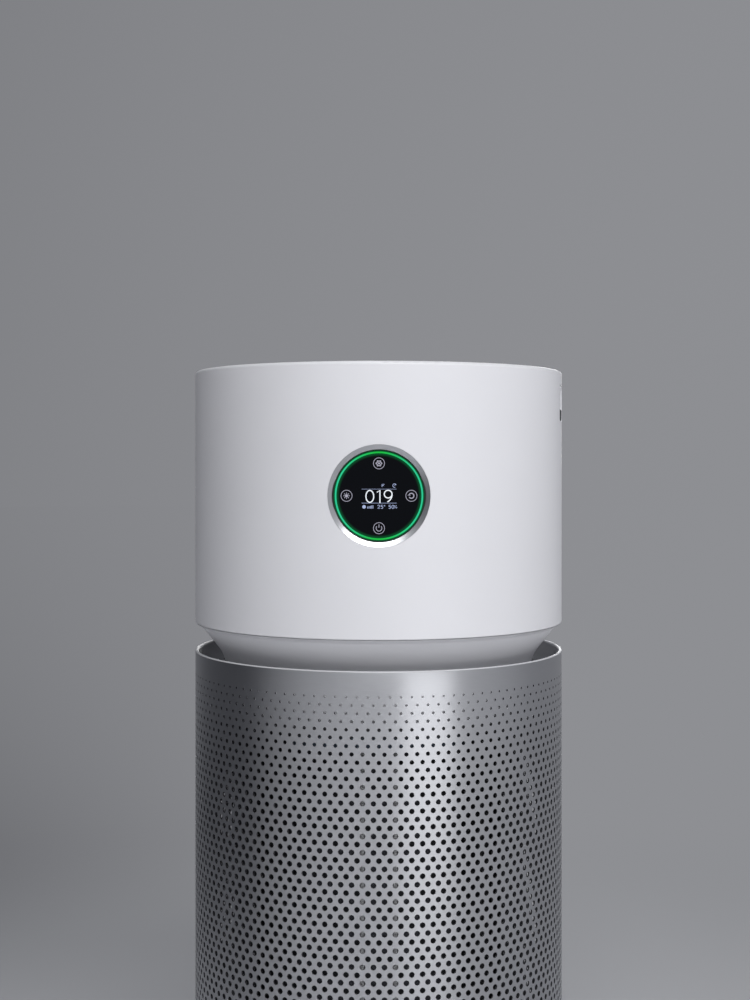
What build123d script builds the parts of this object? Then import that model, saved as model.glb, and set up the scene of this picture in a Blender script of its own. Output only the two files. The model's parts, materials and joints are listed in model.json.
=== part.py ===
from build123d import *
import os
from math import asin, atan2, cos, degrees, radians, sin, sqrt, tan

os.makedirs("parts", exist_ok=True)

# Frame: millimetres, +Z up, Z = 0 on the floor, the body's axis on Z, the display towards -Y.

# Outside sizes
body_radius = 157.5          # outside of the drum head and of the sleeve
head_height = 212.8          # drum, from its lower edge to its top rim
neck_gap = 23.7              # open height between the sleeve's rim and the drum
sleeve_height = 397.5
plinth_height = 20.0
foot_height = 6.0

# Stock thicknesses
sheet = 1.2                  # perforated metal
wall = 3.0                   # moulded walls
board_thick = 1.6            # circuit boards

# Fits
fit_gap = 0.3                # between pieces that pass or sit beside each other
snug_gap = 0.1               # between pieces that are pushed into each other
run_gap = 0.05               # around a pin or shaft that turns
seam_gap = 1.2               # between the upright edges of sleeve and door

# Screws, all of one kind
screw_radius = 1.5
screw_head_radius = 3.0
screw_head_height = 2.0

# Base
plinth_inset = 4.5
base_thick = 4.0
cover_thick = 2.5
foot_radius = 13.0
foot_chamfer = 1.0
foot_inset = 33.0            # foot centre, in from the plinth's wall
foot_count = 4
foot_angle = 45.0
foot_screw_length = 16.0
boss_radius = 5.0
spigot_height = 8.0
spigot_gap = 1.0             # spigot to the filter's bore

# Mains inlet, for a two-pin figure-eight connector
inlet_width = 18.0
inlet_height = 12.0
inlet_depth = 20.0
socket_width = 14.8
socket_height = 8.8
socket_depth = 12.0
pin_spacing = 8.6
pin_radius = 1.2
pin_length = 9.0
lead_radius = 1.4
lead_sag = 3.0

# Power supply under the base plate
power_width = 90.0
power_length = 66.0
lead_room = 32.0             # inlet to board
power_drop = 4.0             # base plate to board
terminal_width = 24.0
terminal_length = 10.0
terminal_height = 9.0
terminal_inset = 1.0
parts_gap = 2.4              # tallest component to the bottom cover
transformer_width = 26.0
transformer_length = 22.0
transformer_side = 18.0      # left of the board's middle
sink_thick = 4.0
sink_length = 40.0
sink_side = 18.0             # right of the board's middle
smoother_radius = 6.0
smoother_pitch = 16.0
smoother_side = 34.0         # right of the board's middle
parts_forward = 4.0          # components, ahead of the board's middle

# Posts and deck
post_depth = 16.0            # along the radius
post_width = 22.0
post_inset = 2.0             # behind the sleeve
post_setback = 8.0           # degrees from a door edge to the rear posts
front_post_angle = 35.0      # degrees from the front to the front posts
post_block = 14.0            # solid ends that take the screws
post_screw_length = 14.0
deck_depth = 45.0            # sleeve rim down to the deck
deck_thick = 6.0

# Air holes: a coarse grid in place of the sheet's fine perforation
hole_spacing = 45.0          # along the arc
hole_rows = 12
hole_margin = 24.0           # end rows to the sheet's edges
hole_largest = 16.0
hole_smallest = 6.0
hole_fade = 4                # rows over which the holes grow from either end
row_shift = 0.25             # of the spacing, to either side from row to row

# Rear door
door_half_angle = 82.0
frame_depth = 6.0            # door frame, along the radius
rail_height = 14.0
stile_angle = 6.0
hinge_inset = 8.5            # hinge axis, in from the outside of the sleeve
hinge_offset = 9.0           # hinge axis, along the sleeve from the door's edge
hinge_pin_radius = 2.5
hinge_pin_reach = 12.0
knuckle_wall = 2.6
knuckle_height = 15.0
hinge_sweep_gap = 1.0
lug_reach = 25.0
lug_angle = 10.0
magnet_radius = 4.0
magnet_thick = 3.0
magnet_inset = 80.0          # from the ends of the door frame
catch_width = 10.0
catch_height = 24.0
catch_bite = 1.0             # catch block into the frame
strike_thick = 1.5
switch_rise = 20.0           # above the middle of the door
switch_width = 8.0
switch_depth = 7.0
switch_height = 20.0
plunger_radius = 1.8
plunger_length = 8.0
plunger_show = 2.0           # how far it stands out with the door shut

# Filter cartridge
plenum = 22.3                # filter to door frame
filter_depth = 50.0          # from its bore to its outside
cap_height = 10.0
cap_round = 1.5
cap_rim = 3.0                # net behind the caps' edge
gasket_inset = 6.0
gasket_thick = 4.0
pleat_count = 90
fold_width = 9.0             # folded paper, cut along the radius
net_thick = 1.0
core_thick = 2.0
core_inset = 2.0             # core outside the caps' bore
core_bars = 12
core_opening = 30.0
core_rows = 9
core_ring = 6.0
tab_width = 44.0
tab_reach = 14.0
tab_thick = 4.0
tab_round = 6.0
tab_bite = 6.0               # tab's root in the cap

# Cowl and neck
neck_inset = 23.5            # neck, in from the drum's inside
cowl_angle = 38.0            # of the cone, from upright
cowl_bend = 35.0             # radius of the bend from cone to neck
cone_drop = 0.2              # cone's line at the lip, below the drum's lower edge
shoulder_drop = 0.4          # seam between drum and cowl
shoulder_inset = 0.5         # cowl's widest edge, in from the drum's outside
shoulder_width = 5.2         # steep band between that edge and the cone
lip_height = 8.0             # cowl's lip inside the drum
flange_reach = 14.0
tongue_height = 8.0          # neck's tongue up inside the cowl
tongue_thick = 2.5
neck_screw_count = 6
neck_screw_length = 8.0

# Drum head
edge_round = 2.6             # top rim
lower_round = 0.8
rim_drop = 1.5               # top ring below the rim
grille_drop = 12.0
grille_height = 8.0
ring_wall = 2.5

# Fan casing and inlet nozzle
casing_space = 20.5          # drum to fan casing
nozzle_radius = 84.0
nozzle_wall = 2.5
nozzle_round = 12.0
nozzle_rise = 4.0
casing_screw_count = 6
casing_screw_length = 12.0
casing_boss_height = 10.0
casing_boss_radius = 3.0
ledge_width = 4.0
ledge_height = 4.0

# Fan wheel
tip_gap = 11.0               # wheel to casing
eye_gap = 1.5                # nozzle to wheel
shroud_thick = 2.0
shroud_rise = 36.0           # height of the wheel's outer wall above its eye
eye_height = 6.0
hub_thick = 4.0
hub_boss_radius = 15.0
wheel_height = 62.0
outlet_width = 19.0          # along the radius, at the top of the wheel
blade_count = 9
blade_thick = 2.2
blade_root = 40.0
blade_lead = 26.0            # degrees that a blade runs back
fin_sweep = 0.4              # share of the lead at half the length
wheel_gap = 4.0              # wheel to guide vanes

# Guide vanes and motor
motor_headroom = 2.0         # motor to drum cap
drum_floor = 4.0
vane_count = 11
vane_thick = 2.2
vane_lead = 9.0
vane_height = 44.0
vane_inset = 4.0             # vanes above the drum's lower edge
vane_bite = 1.0              # vanes into drum and band
band_thick = 2.0
band_height = 12.0
cap_thick = 3.0
cap_edge = 2.4
shaft_radius = 4.0
shaft_hole = 12.0
shaft_show = 2.0             # past the nut
shaft_chamfer = 0.5
shaft_clear = 2.0            # around the shaft in the motor's cover
nut_width = 13.0
nut_height = 6.0
mount_thick = 3.0
mount_radius = 5.0
motor_radius = 46.0
motor_screw_inset = 12.0     # in from the motor's outside
motor_screw_count = 4
motor_height = 41.0
motor_round = 2.5
thread_skin = 2.0            # metal left over a screw's end
cover_height = 9.0
bearing_radius = 11.0
bearing_width = 7.0
rotor_radius = 22.0
rotor_height = 22.0
air_gap = 1.0
tooth_count = 9
tooth_width = 5.0
tooth_bite = 1.0
coil_width = 10.0
coil_over = 3.0
coil_margin = 2.5
yoke_width = 7.0

# Outlet grille
fin_count = 48
fin_thick = 1.8
fin_lead = 16.0
fin_bite = 2.0               # fins into rim and hub
grille_rim = 7.0
grille_hub = 38.0
ring_count = 3
grille_ring = 2.0
hub_cap_thick = 2.0
hub_cap_edge = 1.2

# Display
display_drop = 103.0         # display centre below the top rim
dish_radius = 39.3
glass_radius = 34.8
glass_setback = 7.0          # glass face behind the drum's front
glass_thick = 1.5
light_inset = 1.6            # middle of the light, in from the glass's edge
light_width = 1.2
light_depth = 4.0
screen_width = 28.0
screen_height = 18.0
screen_thick = 1.8
display_board_gap = 5.0      # glass to board
board_back_gap = 0.4         # board to housing
housing_wall = 2.0
board_rest = 6.0             # ledge that carries the display board
ear_radius = 4.5
ear_gap = 0.3                # screw ears to dish
ear_bite = 3.0               # screw into its boss
boss_skin = 1.0              # plastic left over the screw's end
ear_thick = 2.5
ear_count = 3
led_count = 12
led_width = 1.6
led_length = 3.0
led_height = 1.2

# Particle sensor
vent_angle = -11.0           # degrees about Z, from the right towards the front
vent_drop = 12.0             # window's top below the rim
vent_width = 24.0
vent_height = 31.0
vent_round = 3.0
cover_setback = 1.2
vent_cover_thick = 1.8
barrel_inset = 1.0           # hinge axis behind the cover's face
cover_pin_radius = 0.8
cover_pin_bite = 3.0
barrel_radius = 1.7
vent_slots = 5
vent_slot_height = 2.2
vent_slot_width = 16.0
sensor_width = 38.0
sensor_height = 32.0
sensor_thick = 12.0
sensor_gap = 3.5             # sensor to drum
sensor_round = 2.0
mouth_radius = 7.0           # round opening of the sensor
mouth_depth = 3.0
mouth_rise = 4.0
mouth_side = 8.0
gill_length = 18.0           # its outlet slot
gill_width = 3.0
gill_side = 11.0
pad_margin = 4.0

# Control board behind the fan casing
control_width = 96.0
control_height = 84.0
control_rise = 30.0          # above the casing flange
control_gap = 4.0            # casing to board
standoff_radius = 4.0
standoff_inset = 7.0
board_screw_length = 7.0
chip_size = 14.0
chip_height = 1.6
chip_rise = 4.0
driver_width = 18.0
driver_length = 24.0
driver_height = 3.0
driver_side = 22.0
driver_drop = 12.0
plug_count = 3
plug_pitch = 22.0
plug_width = 16.0
plug_size = 6.0
plug_inset = 5.0
reservoir_radius = 4.0
reservoir_height = 6.0
reservoir_pitch = 14.0
reservoir_side = 26.0
reservoir_drop = 16.0

# Levels
sleeve_bottom = foot_height + plinth_height
base_top = sleeve_bottom + base_thick
sleeve_top = sleeve_bottom + sleeve_height
deck_top = sleeve_top - deck_depth
deck_bottom = deck_top - deck_thick
head_bottom = sleeve_top + neck_gap
head_top = head_bottom + head_height
lip_top = head_bottom + lip_height
nozzle_plate_top = lip_top + nozzle_wall
flange_top = nozzle_plate_top + wall
nozzle_top = lip_top + nozzle_round + nozzle_rise
wheel_bottom = nozzle_top - eye_height
wheel_top = wheel_bottom + wheel_height
drum_bottom = wheel_top + wheel_gap
floor_top = drum_bottom + drum_floor
motor_bottom = floor_top + mount_thick
bell_bottom = motor_bottom + cover_height
motor_top = bell_bottom + motor_height
drum_top = motor_top + motor_headroom + cap_thick
grille_top = head_top - grille_drop
casing_top = grille_top - grille_height
display_level = head_top - display_drop
vent_top = head_top - vent_drop

# Radii and places that follow
sleeve_inner = body_radius - sheet
chassis_radius = sleeve_inner - fit_gap
head_inner = body_radius - wall
plinth_radius = body_radius - plinth_inset
casing_outer = head_inner - casing_space
casing_radius = casing_outer - wall
neck_radius = head_inner - neck_inset
flange_radius = head_inner - fit_gap
frame_inner = sleeve_inner - frame_depth
filter_radius = frame_inner - plenum
filter_bore = filter_radius - filter_depth
spigot_radius = filter_bore - spigot_gap
foot_circle = plinth_radius - foot_inset
post_centre = chassis_radius - post_inset - post_depth / 2
door_right = 90 - door_half_angle
door_left = 90 + door_half_angle
half_gap = degrees(seam_gap / 2 / body_radius)
right_post = door_right - post_setback
post_screw_circle = min(post_centre, plinth_radius - wall - screw_head_radius - fit_gap)
post_angles = (
    right_post,
    door_left + post_setback,
    270 - front_post_angle,
    270 + front_post_angle,
)
hinge_radius = body_radius - hinge_inset
hinge_angle = door_left - half_gap - degrees(hinge_offset / body_radius)
hinge_x = hinge_radius * cos(radians(hinge_angle))
hinge_y = hinge_radius * sin(radians(hinge_angle))
hinge_sweep = sqrt(hinge_inset**2 + hinge_offset**2) + hinge_sweep_gap
knuckle_radius = hinge_pin_radius + knuckle_wall
inlet_level = (foot_height + cover_thick + sleeve_bottom) / 2
inlet_face = sqrt(plinth_radius**2 - (inlet_width / 2) ** 2)
power_back = inlet_face - inlet_depth - lead_room
power_middle = power_back - power_length / 2
filter_bottom = base_top
filter_top = deck_bottom - gasket_thick
eye_radius = nozzle_radius + nozzle_wall + eye_gap
wheel_radius = casing_radius - tip_gap
motor_circle = motor_radius - motor_screw_inset
glass_face = body_radius - glass_setback
glass_back = glass_face - glass_thick
light_radius = glass_radius - light_inset
ear_circle = dish_radius + ear_gap + ear_radius
housing_depth = display_board_gap + board_thick + board_back_gap + housing_wall
cover_outer = body_radius - cover_setback
cover_pin_x = cover_outer - barrel_inset
cover_pin_z = vent_top - fit_gap - barrel_radius
pad_face = head_inner - sensor_gap - sensor_thick
control_plane = casing_outer + control_gap
control_bottom = flange_top + control_rise

UP = (Align.CENTER, Align.CENTER, Align.MIN)
DOWN = (Align.CENTER, Align.CENTER, Align.MAX)


def turn(*outline):
    """Turn a closed outline of (radius, height) points about Z into the active part."""
    with BuildSketch(Plane.XZ) as profile:
        with BuildLine():
            Polyline(*outline, close=True)
        make_face()
    revolve(profile.sketch, axis=Axis.Z)


def tube(inner, outer, bottom, top):
    """Add an upright tube between two radii and two heights."""
    turn((inner, bottom), (outer, bottom), (outer, top), (inner, top))


def sector(inner, outer, start, end, bottom, top, mode=Mode.ADD):
    """Add or cut an upright wall between two radii, two angles and two heights."""
    with BuildSketch(Plane.XY.offset(bottom)) as plan:
        with BuildLine():
            near = CenterArc((0, 0), inner, start, end - start)
            far = CenterArc((0, 0), outer, start, end - start)
            Line(near @ 0, far @ 0)
            Line(near @ 1, far @ 1)
        make_face()
    extrude(plan.sketch, amount=top - bottom, mode=mode)


def polar(radius, angle, height):
    """Point from radius, angle and height."""
    return (radius * cos(radians(angle)), radius * sin(radians(angle)), height)


def ring_plan(inner, outer):
    """Flat ring between two radii."""
    with BuildSketch() as plan:
        Circle(outer)
        Circle(inner, mode=Mode.SUBTRACT)
    return plan.sketch


def fin_plan(count, inner, outer, lead, thick):
    """Flat curved strips that run back by an angle between two radii."""
    middle = (inner + outer) / 2
    with BuildSketch() as strip:
        with BuildLine():
            ThreePointArc((inner, 0), polar(middle, -fin_sweep * lead, 0), polar(outer, -lead, 0))
        trace(line_width=thick)
    with BuildSketch() as plan:
        with PolarLocations(0, count):
            add(strip.sketch)
    return plan.sketch


def screw(length):
    """Add a screw at each active place: head above it, shank below it."""
    Cylinder(screw_head_radius, screw_head_height, align=UP)
    Cylinder(screw_radius, length, align=DOWN)


def save(builder, label, angle=0):
    """Name a finished sub-part, turn it about Z to its place and write it out."""
    part = builder.part.rotate(Axis.Z, angle) if angle else builder.part
    part.label = label
    export_step(part, f"parts/{label}.step")


def hinge_lug(bottom, top):
    """Cut room for the door's edge around the hinge, then add the arm that holds the pin."""
    with Locations((hinge_x, hinge_y, bottom)):
        Cylinder(hinge_sweep, top - bottom, align=UP, mode=Mode.SUBTRACT)
    root = Vector(*polar(hinge_radius - lug_reach, hinge_angle - lug_angle, 0))
    tip = Vector(hinge_x, hinge_y, 0)
    arm = tip - root
    with BuildSketch(Plane.XY.offset(bottom)) as plan:
        with Locations((tip + root) * 0.5):
            SlotCenterToCenter(arm.length, 2 * knuckle_radius, rotation=degrees(atan2(arm.Y, arm.X)))
    extrude(plan.sketch, amount=top - bottom)
    with Locations((hinge_x, hinge_y, bottom)):
        Cylinder(hinge_pin_radius, top - bottom, align=UP, mode=Mode.SUBTRACT)


def air_holes(start, end):
    """Cut rows of round holes through the sheet between two angles, larger towards its middle."""
    span = end - start
    columns = round(radians(span) * body_radius / hole_spacing)
    for row in range(hole_rows):
        share = min(1, min(row, hole_rows - 1 - row) / hole_fade)
        radius = (hole_smallest + (hole_largest - hole_smallest) * share) / 2
        level = sleeve_bottom + hole_margin + row * (sleeve_height - 2 * hole_margin) / (hole_rows - 1)
        shift = row_shift if row % 2 else 1 - row_shift
        with Locations((0, 0, level)):
            with PolarLocations(body_radius, columns, start + shift * span / columns, span):
                with Locations(Location((0, 0, 0), (0, 90, 0))):
                    Cylinder(radius, 6 * sheet, mode=Mode.SUBTRACT)


# Base tray: plate, plinth wall, spigot of the filter, screw bosses
power_top = sleeve_bottom - power_drop
power_fixings = (power_width - 2 * standoff_inset, power_length - 2 * standoff_inset)
with BuildPart() as base_tray:
    turn(
        (0, sleeve_bottom),
        (plinth_radius - wall, sleeve_bottom),
        (plinth_radius - wall, foot_height),
        (plinth_radius, foot_height),
        (plinth_radius, sleeve_bottom),
        (chassis_radius, sleeve_bottom),
        (chassis_radius, base_top),
        (spigot_radius, base_top),
        (spigot_radius, base_top + spigot_height),
        (spigot_radius - wall, base_top + spigot_height),
        (spigot_radius - wall, base_top),
        (0, base_top),
    )
    hinge_lug(sleeve_bottom, base_top)
    with Locations((0, 0, foot_height + cover_thick)):
        with PolarLocations(foot_circle, foot_count, foot_angle):
            Cylinder(boss_radius, plinth_height - cover_thick, align=UP)
            Cylinder(screw_radius, foot_screw_length, align=UP, mode=Mode.SUBTRACT)
    with Locations((0, power_middle, sleeve_bottom)):
        with GridLocations(*power_fixings, 2, 2):
            Cylinder(standoff_radius, power_drop, align=DOWN)
            Cylinder(screw_radius, power_drop, align=DOWN, mode=Mode.SUBTRACT)
    with Locations((0, inlet_face - inlet_depth / 2, inlet_level + inlet_height / 2)):
        Box(inlet_width, inlet_depth, sleeve_bottom - inlet_level - inlet_height / 2, align=UP)
    with Locations((0, inlet_face, inlet_level)):
        Box(inlet_width + 2 * snug_gap, 4 * wall, inlet_height, mode=Mode.SUBTRACT)
    for angle in post_angles:
        with Locations(polar(post_screw_circle, angle, sleeve_bottom)):
            Cylinder(screw_radius + fit_gap, base_thick, align=UP, mode=Mode.SUBTRACT)
save(base_tray, "base_tray")

# Bottom cover of the plinth
with BuildPart() as base_cover:
    with Locations((0, 0, foot_height)):
        Cylinder(plinth_radius - wall - snug_gap, cover_thick, align=UP)
        with PolarLocations(foot_circle, foot_count, foot_angle):
            Cylinder(screw_radius + fit_gap, cover_thick, align=UP, mode=Mode.SUBTRACT)
save(base_cover, "base_cover")

# Rubber feet, each with a recess for its screw
with BuildPart() as feet:
    with PolarLocations(foot_circle, foot_count, foot_angle):
        Cylinder(foot_radius, foot_height, align=UP)
    chamfer(feet.edges().group_by(Axis.Z)[0], foot_chamfer)
    with PolarLocations(foot_circle, foot_count, foot_angle):
        Cylinder(screw_radius + fit_gap, foot_height, align=UP, mode=Mode.SUBTRACT)
        Cylinder(screw_head_radius + fit_gap, foot_height / 2, align=UP, mode=Mode.SUBTRACT)
save(feet, "feet")

with BuildPart() as foot_screws:
    with Locations(Location((0, 0, foot_height / 2), (180, 0, 0))):
        with PolarLocations(foot_circle, foot_count, foot_angle):
            screw(foot_screw_length)
save(foot_screws, "foot_screws")

# Mains inlet: figure-eight socket open to the rear
with BuildPart() as power_inlet:
    with Locations((0, inlet_face - inlet_depth / 2, inlet_level)):
        Box(inlet_width, inlet_depth, inlet_height)
    with BuildSketch(Plane((0, inlet_face, inlet_level), x_dir=(1, 0, 0), z_dir=(0, 1, 0))):
        SlotOverall(socket_width, socket_height)
    extrude(amount=-socket_depth, mode=Mode.SUBTRACT)
    with Locations(Location((0, inlet_face - inlet_depth, inlet_level), (-90, 0, 0))):
        with GridLocations(pin_spacing, 1, 2, 1):
            Cylinder(pin_radius, inlet_depth - socket_depth, align=UP, mode=Mode.SUBTRACT)
save(power_inlet, "power_inlet")

with BuildPart() as inlet_pins:
    with Locations(Location((0, inlet_face - inlet_depth, inlet_level), (-90, 0, 0))):
        with GridLocations(pin_spacing, 1, 2, 1):
            Cylinder(pin_radius, inlet_depth - socket_depth + pin_length, align=UP)
    fillet(inlet_pins.edges().group_by(Axis.Y)[-1], pin_radius / 2)
save(inlet_pins, "inlet_pins")

# Power supply, hanging under the base plate beside the inlet
parts_top = power_top - board_thick
parts_height = parts_top - foot_height - cover_thick - parts_gap
with BuildPart() as power_board:
    with Locations((0, power_middle, power_top)):
        Box(power_width, power_length, board_thick, align=DOWN)
        with GridLocations(*power_fixings, 2, 2):
            Cylinder(screw_radius + fit_gap, board_thick, align=DOWN, mode=Mode.SUBTRACT)
    with Locations((0, power_back - terminal_inset, parts_top)):
        Box(terminal_width, terminal_length, terminal_height, align=(Align.CENTER, Align.MAX, Align.MAX))
    with Locations((0, power_middle - parts_forward, parts_top)):
        with Locations((-transformer_side, 0)):
            Box(transformer_width, transformer_length, parts_height, align=DOWN)
        with Locations((sink_side, 0)):
            Box(sink_thick, sink_length, parts_height, align=DOWN)
        with Locations((smoother_side, 0)):
            with GridLocations(1, smoother_pitch, 1, 2):
                Cylinder(smoother_radius, parts_height, align=DOWN)
save(power_board, "power_board")

# Mains lead: two short wires from the inlet to the supply's terminals
lead_start = inlet_face - inlet_depth
lead_end = power_back - terminal_inset
with BuildPart() as mains_lead:
    for side in (-1, 1):
        wire_x = side * pin_spacing / 2
        with BuildLine() as route:
            Spline(
                (wire_x, lead_start, inlet_level),
                (wire_x, (lead_start + lead_end) / 2, inlet_level - lead_sag),
                (wire_x, lead_end, inlet_level),
                tangents=[(0, -1, 0), (0, -1, 0)],
            )
        with BuildSketch(Plane((wire_x, lead_start, inlet_level), z_dir=(0, -1, 0))) as wire:
            Circle(lead_radius)
        sweep(wire.sketch, path=route.line)
save(mains_lead, "mains_lead")

# Posts between base and deck, open channels with solid ends
post_height = deck_bottom - base_top
channel_height = post_height - 2 * post_block
with BuildPart() as support_posts:
    for angle in post_angles:
        with Locations(Location((0, 0, base_top), (0, 0, angle))):
            with Locations((post_centre, 0, 0)):
                Box(post_depth, post_width, post_height, align=UP)
            with Locations((post_screw_circle, 0, 0)):
                Cylinder(screw_radius, post_screw_length - base_thick, align=UP, mode=Mode.SUBTRACT)
            with Locations((post_screw_circle, 0, post_height)):
                Cylinder(screw_radius, post_screw_length - deck_thick, align=DOWN, mode=Mode.SUBTRACT)
            with Locations((post_centre + wall, 0, post_block)):
                Box(post_depth, post_width - 2 * wall, channel_height, align=UP, mode=Mode.SUBTRACT)
save(support_posts, "support_posts")

with BuildPart() as post_screws:
    for angle in post_angles:
        with Locations(Location(polar(post_screw_circle, angle, sleeve_bottom), (180, 0, 0))):
            screw(post_screw_length)
        with Locations(polar(post_screw_circle, angle, deck_top)):
            screw(post_screw_length)
save(post_screws, "post_screws")

# Deck between the filter room and the head
neck_screw_circle = neck_radius - wall - flange_reach / 2
with BuildPart() as upper_deck:
    tube(filter_bore + wall, chassis_radius, deck_bottom, deck_top)
    hinge_lug(deck_bottom, deck_top)
    with Locations((0, 0, deck_top)):
        with PolarLocations(neck_screw_circle, neck_screw_count):
            Cylinder(screw_radius, deck_thick, align=DOWN, mode=Mode.SUBTRACT)
    for angle in post_angles:
        with Locations(polar(post_screw_circle, angle, deck_top)):
            Cylinder(screw_radius + fit_gap, deck_thick, align=DOWN, mode=Mode.SUBTRACT)
save(upper_deck, "upper_deck")

# Sleeve: the fixed front part of the sheet-metal skin
sleeve_left = door_left + half_gap
sleeve_right = door_right + 360 - half_gap
with BuildPart() as front_sleeve:
    sector(sleeve_inner, body_radius, sleeve_left, sleeve_right, sleeve_bottom, sleeve_top)
    air_holes(sleeve_left, sleeve_right)
save(front_sleeve, "front_sleeve")

# Rear door: the matching sheet, on a moulded frame that turns on two pins
skin_right = door_right + half_gap
skin_left = door_left - half_gap
with BuildPart() as door_skin:
    sector(sleeve_inner, body_radius, skin_right, skin_left, sleeve_bottom, sleeve_top)
    air_holes(skin_right, skin_left)
save(door_skin, "door_skin")

frame_bottom = base_top + fit_gap
frame_top = deck_bottom - fit_gap
catch_face = post_width / 2 + strike_thick + fit_gap
catch_end = frame_inner * sin(radians(post_setback + stile_angle / 2))
catch_centre = frame_inner - catch_width / 2 + catch_bite
magnet_levels = (frame_bottom + magnet_inset, frame_top - magnet_inset)
switch_level = (frame_bottom + frame_top) / 2 + switch_rise
switch_face = post_width / 2 + switch_depth
plunger_face = switch_face + plunger_show
with BuildPart() as door_frame:
    sector(frame_inner, sleeve_inner, skin_right, skin_left, frame_bottom, frame_bottom + rail_height)
    sector(frame_inner, sleeve_inner, skin_right, skin_left, frame_top - rail_height, frame_top)
    sector(frame_inner, sleeve_inner, skin_right, skin_right + stile_angle, frame_bottom, frame_top)
    sector(frame_inner, sleeve_inner, skin_left - stile_angle, skin_left, frame_bottom, frame_top)
    sector(frame_inner, sleeve_inner, 90 - stile_angle / 4, 90 + stile_angle / 4, frame_bottom, frame_top)
    with Locations((hinge_x, hinge_y, frame_bottom)):
        Cylinder(knuckle_radius, knuckle_height, align=UP)
        Cylinder(hinge_pin_radius + run_gap, knuckle_height, align=UP, mode=Mode.SUBTRACT)
    with Locations((hinge_x, hinge_y, frame_top)):
        Cylinder(knuckle_radius, knuckle_height, align=DOWN)
        Cylinder(hinge_pin_radius + run_gap, knuckle_height, align=DOWN, mode=Mode.SUBTRACT)
    with Locations(Location((0, 0, 0), (0, 0, right_post))):
        for level in magnet_levels:
            with Locations((catch_centre, (catch_face + catch_end) / 2, level)):
                Box(catch_width, catch_end - catch_face, catch_height)
            with Locations(Location((catch_centre, catch_face, level), (-90, 0, 0))):
                Cylinder(magnet_radius, magnet_thick, align=UP, mode=Mode.SUBTRACT)
        with Locations((catch_centre, (plunger_face + snug_gap + catch_end) / 2, switch_level)):
            Box(switch_width, catch_end - plunger_face - snug_gap, switch_height)
save(door_frame, "door_frame")

with BuildPart() as hinge_pins:
    with Locations((hinge_x, hinge_y, sleeve_bottom)):
        Cylinder(hinge_pin_radius, base_thick + hinge_pin_reach, align=UP)
    with Locations((hinge_x, hinge_y, deck_top)):
        Cylinder(hinge_pin_radius, deck_thick + hinge_pin_reach, align=DOWN)
save(hinge_pins, "hinge_pins")

with BuildPart() as door_magnets:
    with Locations(Location((0, 0, 0), (0, 0, right_post))):
        for level in magnet_levels:
            with Locations(Location((catch_centre, catch_face, level), (-90, 0, 0))):
                Cylinder(magnet_radius, magnet_thick, align=UP)
save(door_magnets, "door_magnets")

with BuildPart() as strike_plates:
    with Locations(Location((0, 0, 0), (0, 0, right_post))):
        for level in magnet_levels:
            with Locations((catch_centre, post_width / 2 + strike_thick / 2, level)):
                Box(catch_width, strike_thick, catch_height)
save(strike_plates, "strike_plates")

# Door switch: its plunger is held in by the shut door
plunger_well = plunger_length - plunger_show
with BuildPart() as door_switch:
    with Locations(Location((0, 0, 0), (0, 0, right_post))):
        with Locations((catch_centre, post_width / 2 + switch_depth / 2, switch_level)):
            Box(switch_width, switch_depth, switch_height)
        with Locations(Location((catch_centre, switch_face, switch_level), (-90, 0, 0))):
            Cylinder(plunger_radius + run_gap, plunger_well, align=DOWN, mode=Mode.SUBTRACT)
save(door_switch, "door_switch")

with BuildPart() as switch_plunger:
    with Locations(Location((0, 0, 0), (0, 0, right_post))):
        with Locations(Location((catch_centre, plunger_face, switch_level), (-90, 0, 0))):
            Cylinder(plunger_radius, plunger_length, align=DOWN)
save(switch_plunger, "switch_plunger")

# Filter cartridge
with BuildPart() as filter_bottom_cap:
    tube(filter_bore, filter_radius, filter_bottom, filter_bottom + cap_height)
    fillet(filter_bottom_cap.edges().filter_by(GeomType.CIRCLE).sort_by(SortBy.RADIUS)[-2:], cap_round)
save(filter_bottom_cap, "filter_bottom_cap")

media_bottom = filter_bottom + cap_height
media_top = filter_top - cap_height
net_inner = filter_radius - cap_rim - net_thick
media_outer = net_inner - fit_gap
core_radius = filter_bore + core_inset
media_inner = core_radius + core_thick + fit_gap
fold_step = 180 / pleat_count
with BuildPart() as filter_media:
    with BuildSketch(Plane.XY.offset(media_bottom)):
        for inset, kind in ((0, Mode.ADD), (fold_width, Mode.SUBTRACT)):
            ridge = media_outer - inset
            valley = media_inner + fold_width - inset
            folds = [polar(valley if k % 2 else ridge, k * fold_step, 0)[:2] for k in range(2 * pleat_count)]
            Polygon(*folds, align=None, mode=kind)
    extrude(amount=media_top - media_bottom)
save(filter_media, "filter_media")

with BuildPart() as filter_net:
    tube(net_inner, net_inner + net_thick, media_bottom, media_top)
save(filter_net, "filter_net")

core_pitch = (media_top - media_bottom - core_ring) / core_rows
with BuildPart() as filter_core:
    with BuildSketch(Plane.XY.offset(media_bottom)):
        Circle(core_radius + core_thick)
        Circle(core_radius, mode=Mode.SUBTRACT)
        with PolarLocations(0, core_bars // 2, angular_range=180):
            Rectangle(3 * core_radius, core_opening, mode=Mode.SUBTRACT)
    extrude(amount=media_top - media_bottom)
    with BuildSketch(Plane.XZ):
        with Locations((core_radius + core_thick / 2, (media_bottom + media_top) / 2)):
            with GridLocations(1, core_pitch, 1, core_rows + 1):
                Rectangle(core_thick, core_ring)
    revolve(axis=Axis.Z)
save(filter_core, "filter_core")

with BuildPart() as filter_top_cap:
    tube(filter_bore, filter_radius, media_top, filter_top)
    with Locations((0, filter_radius - tab_bite, filter_top - cap_height / 2)):
        Box(tab_width, tab_reach + tab_bite, tab_thick, align=(Align.CENTER, Align.MIN, Align.CENTER))
    fillet(filter_top_cap.edges().filter_by(Axis.Z).group_by(Axis.Y)[-1], tab_round)
save(filter_top_cap, "filter_top_cap")

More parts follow.
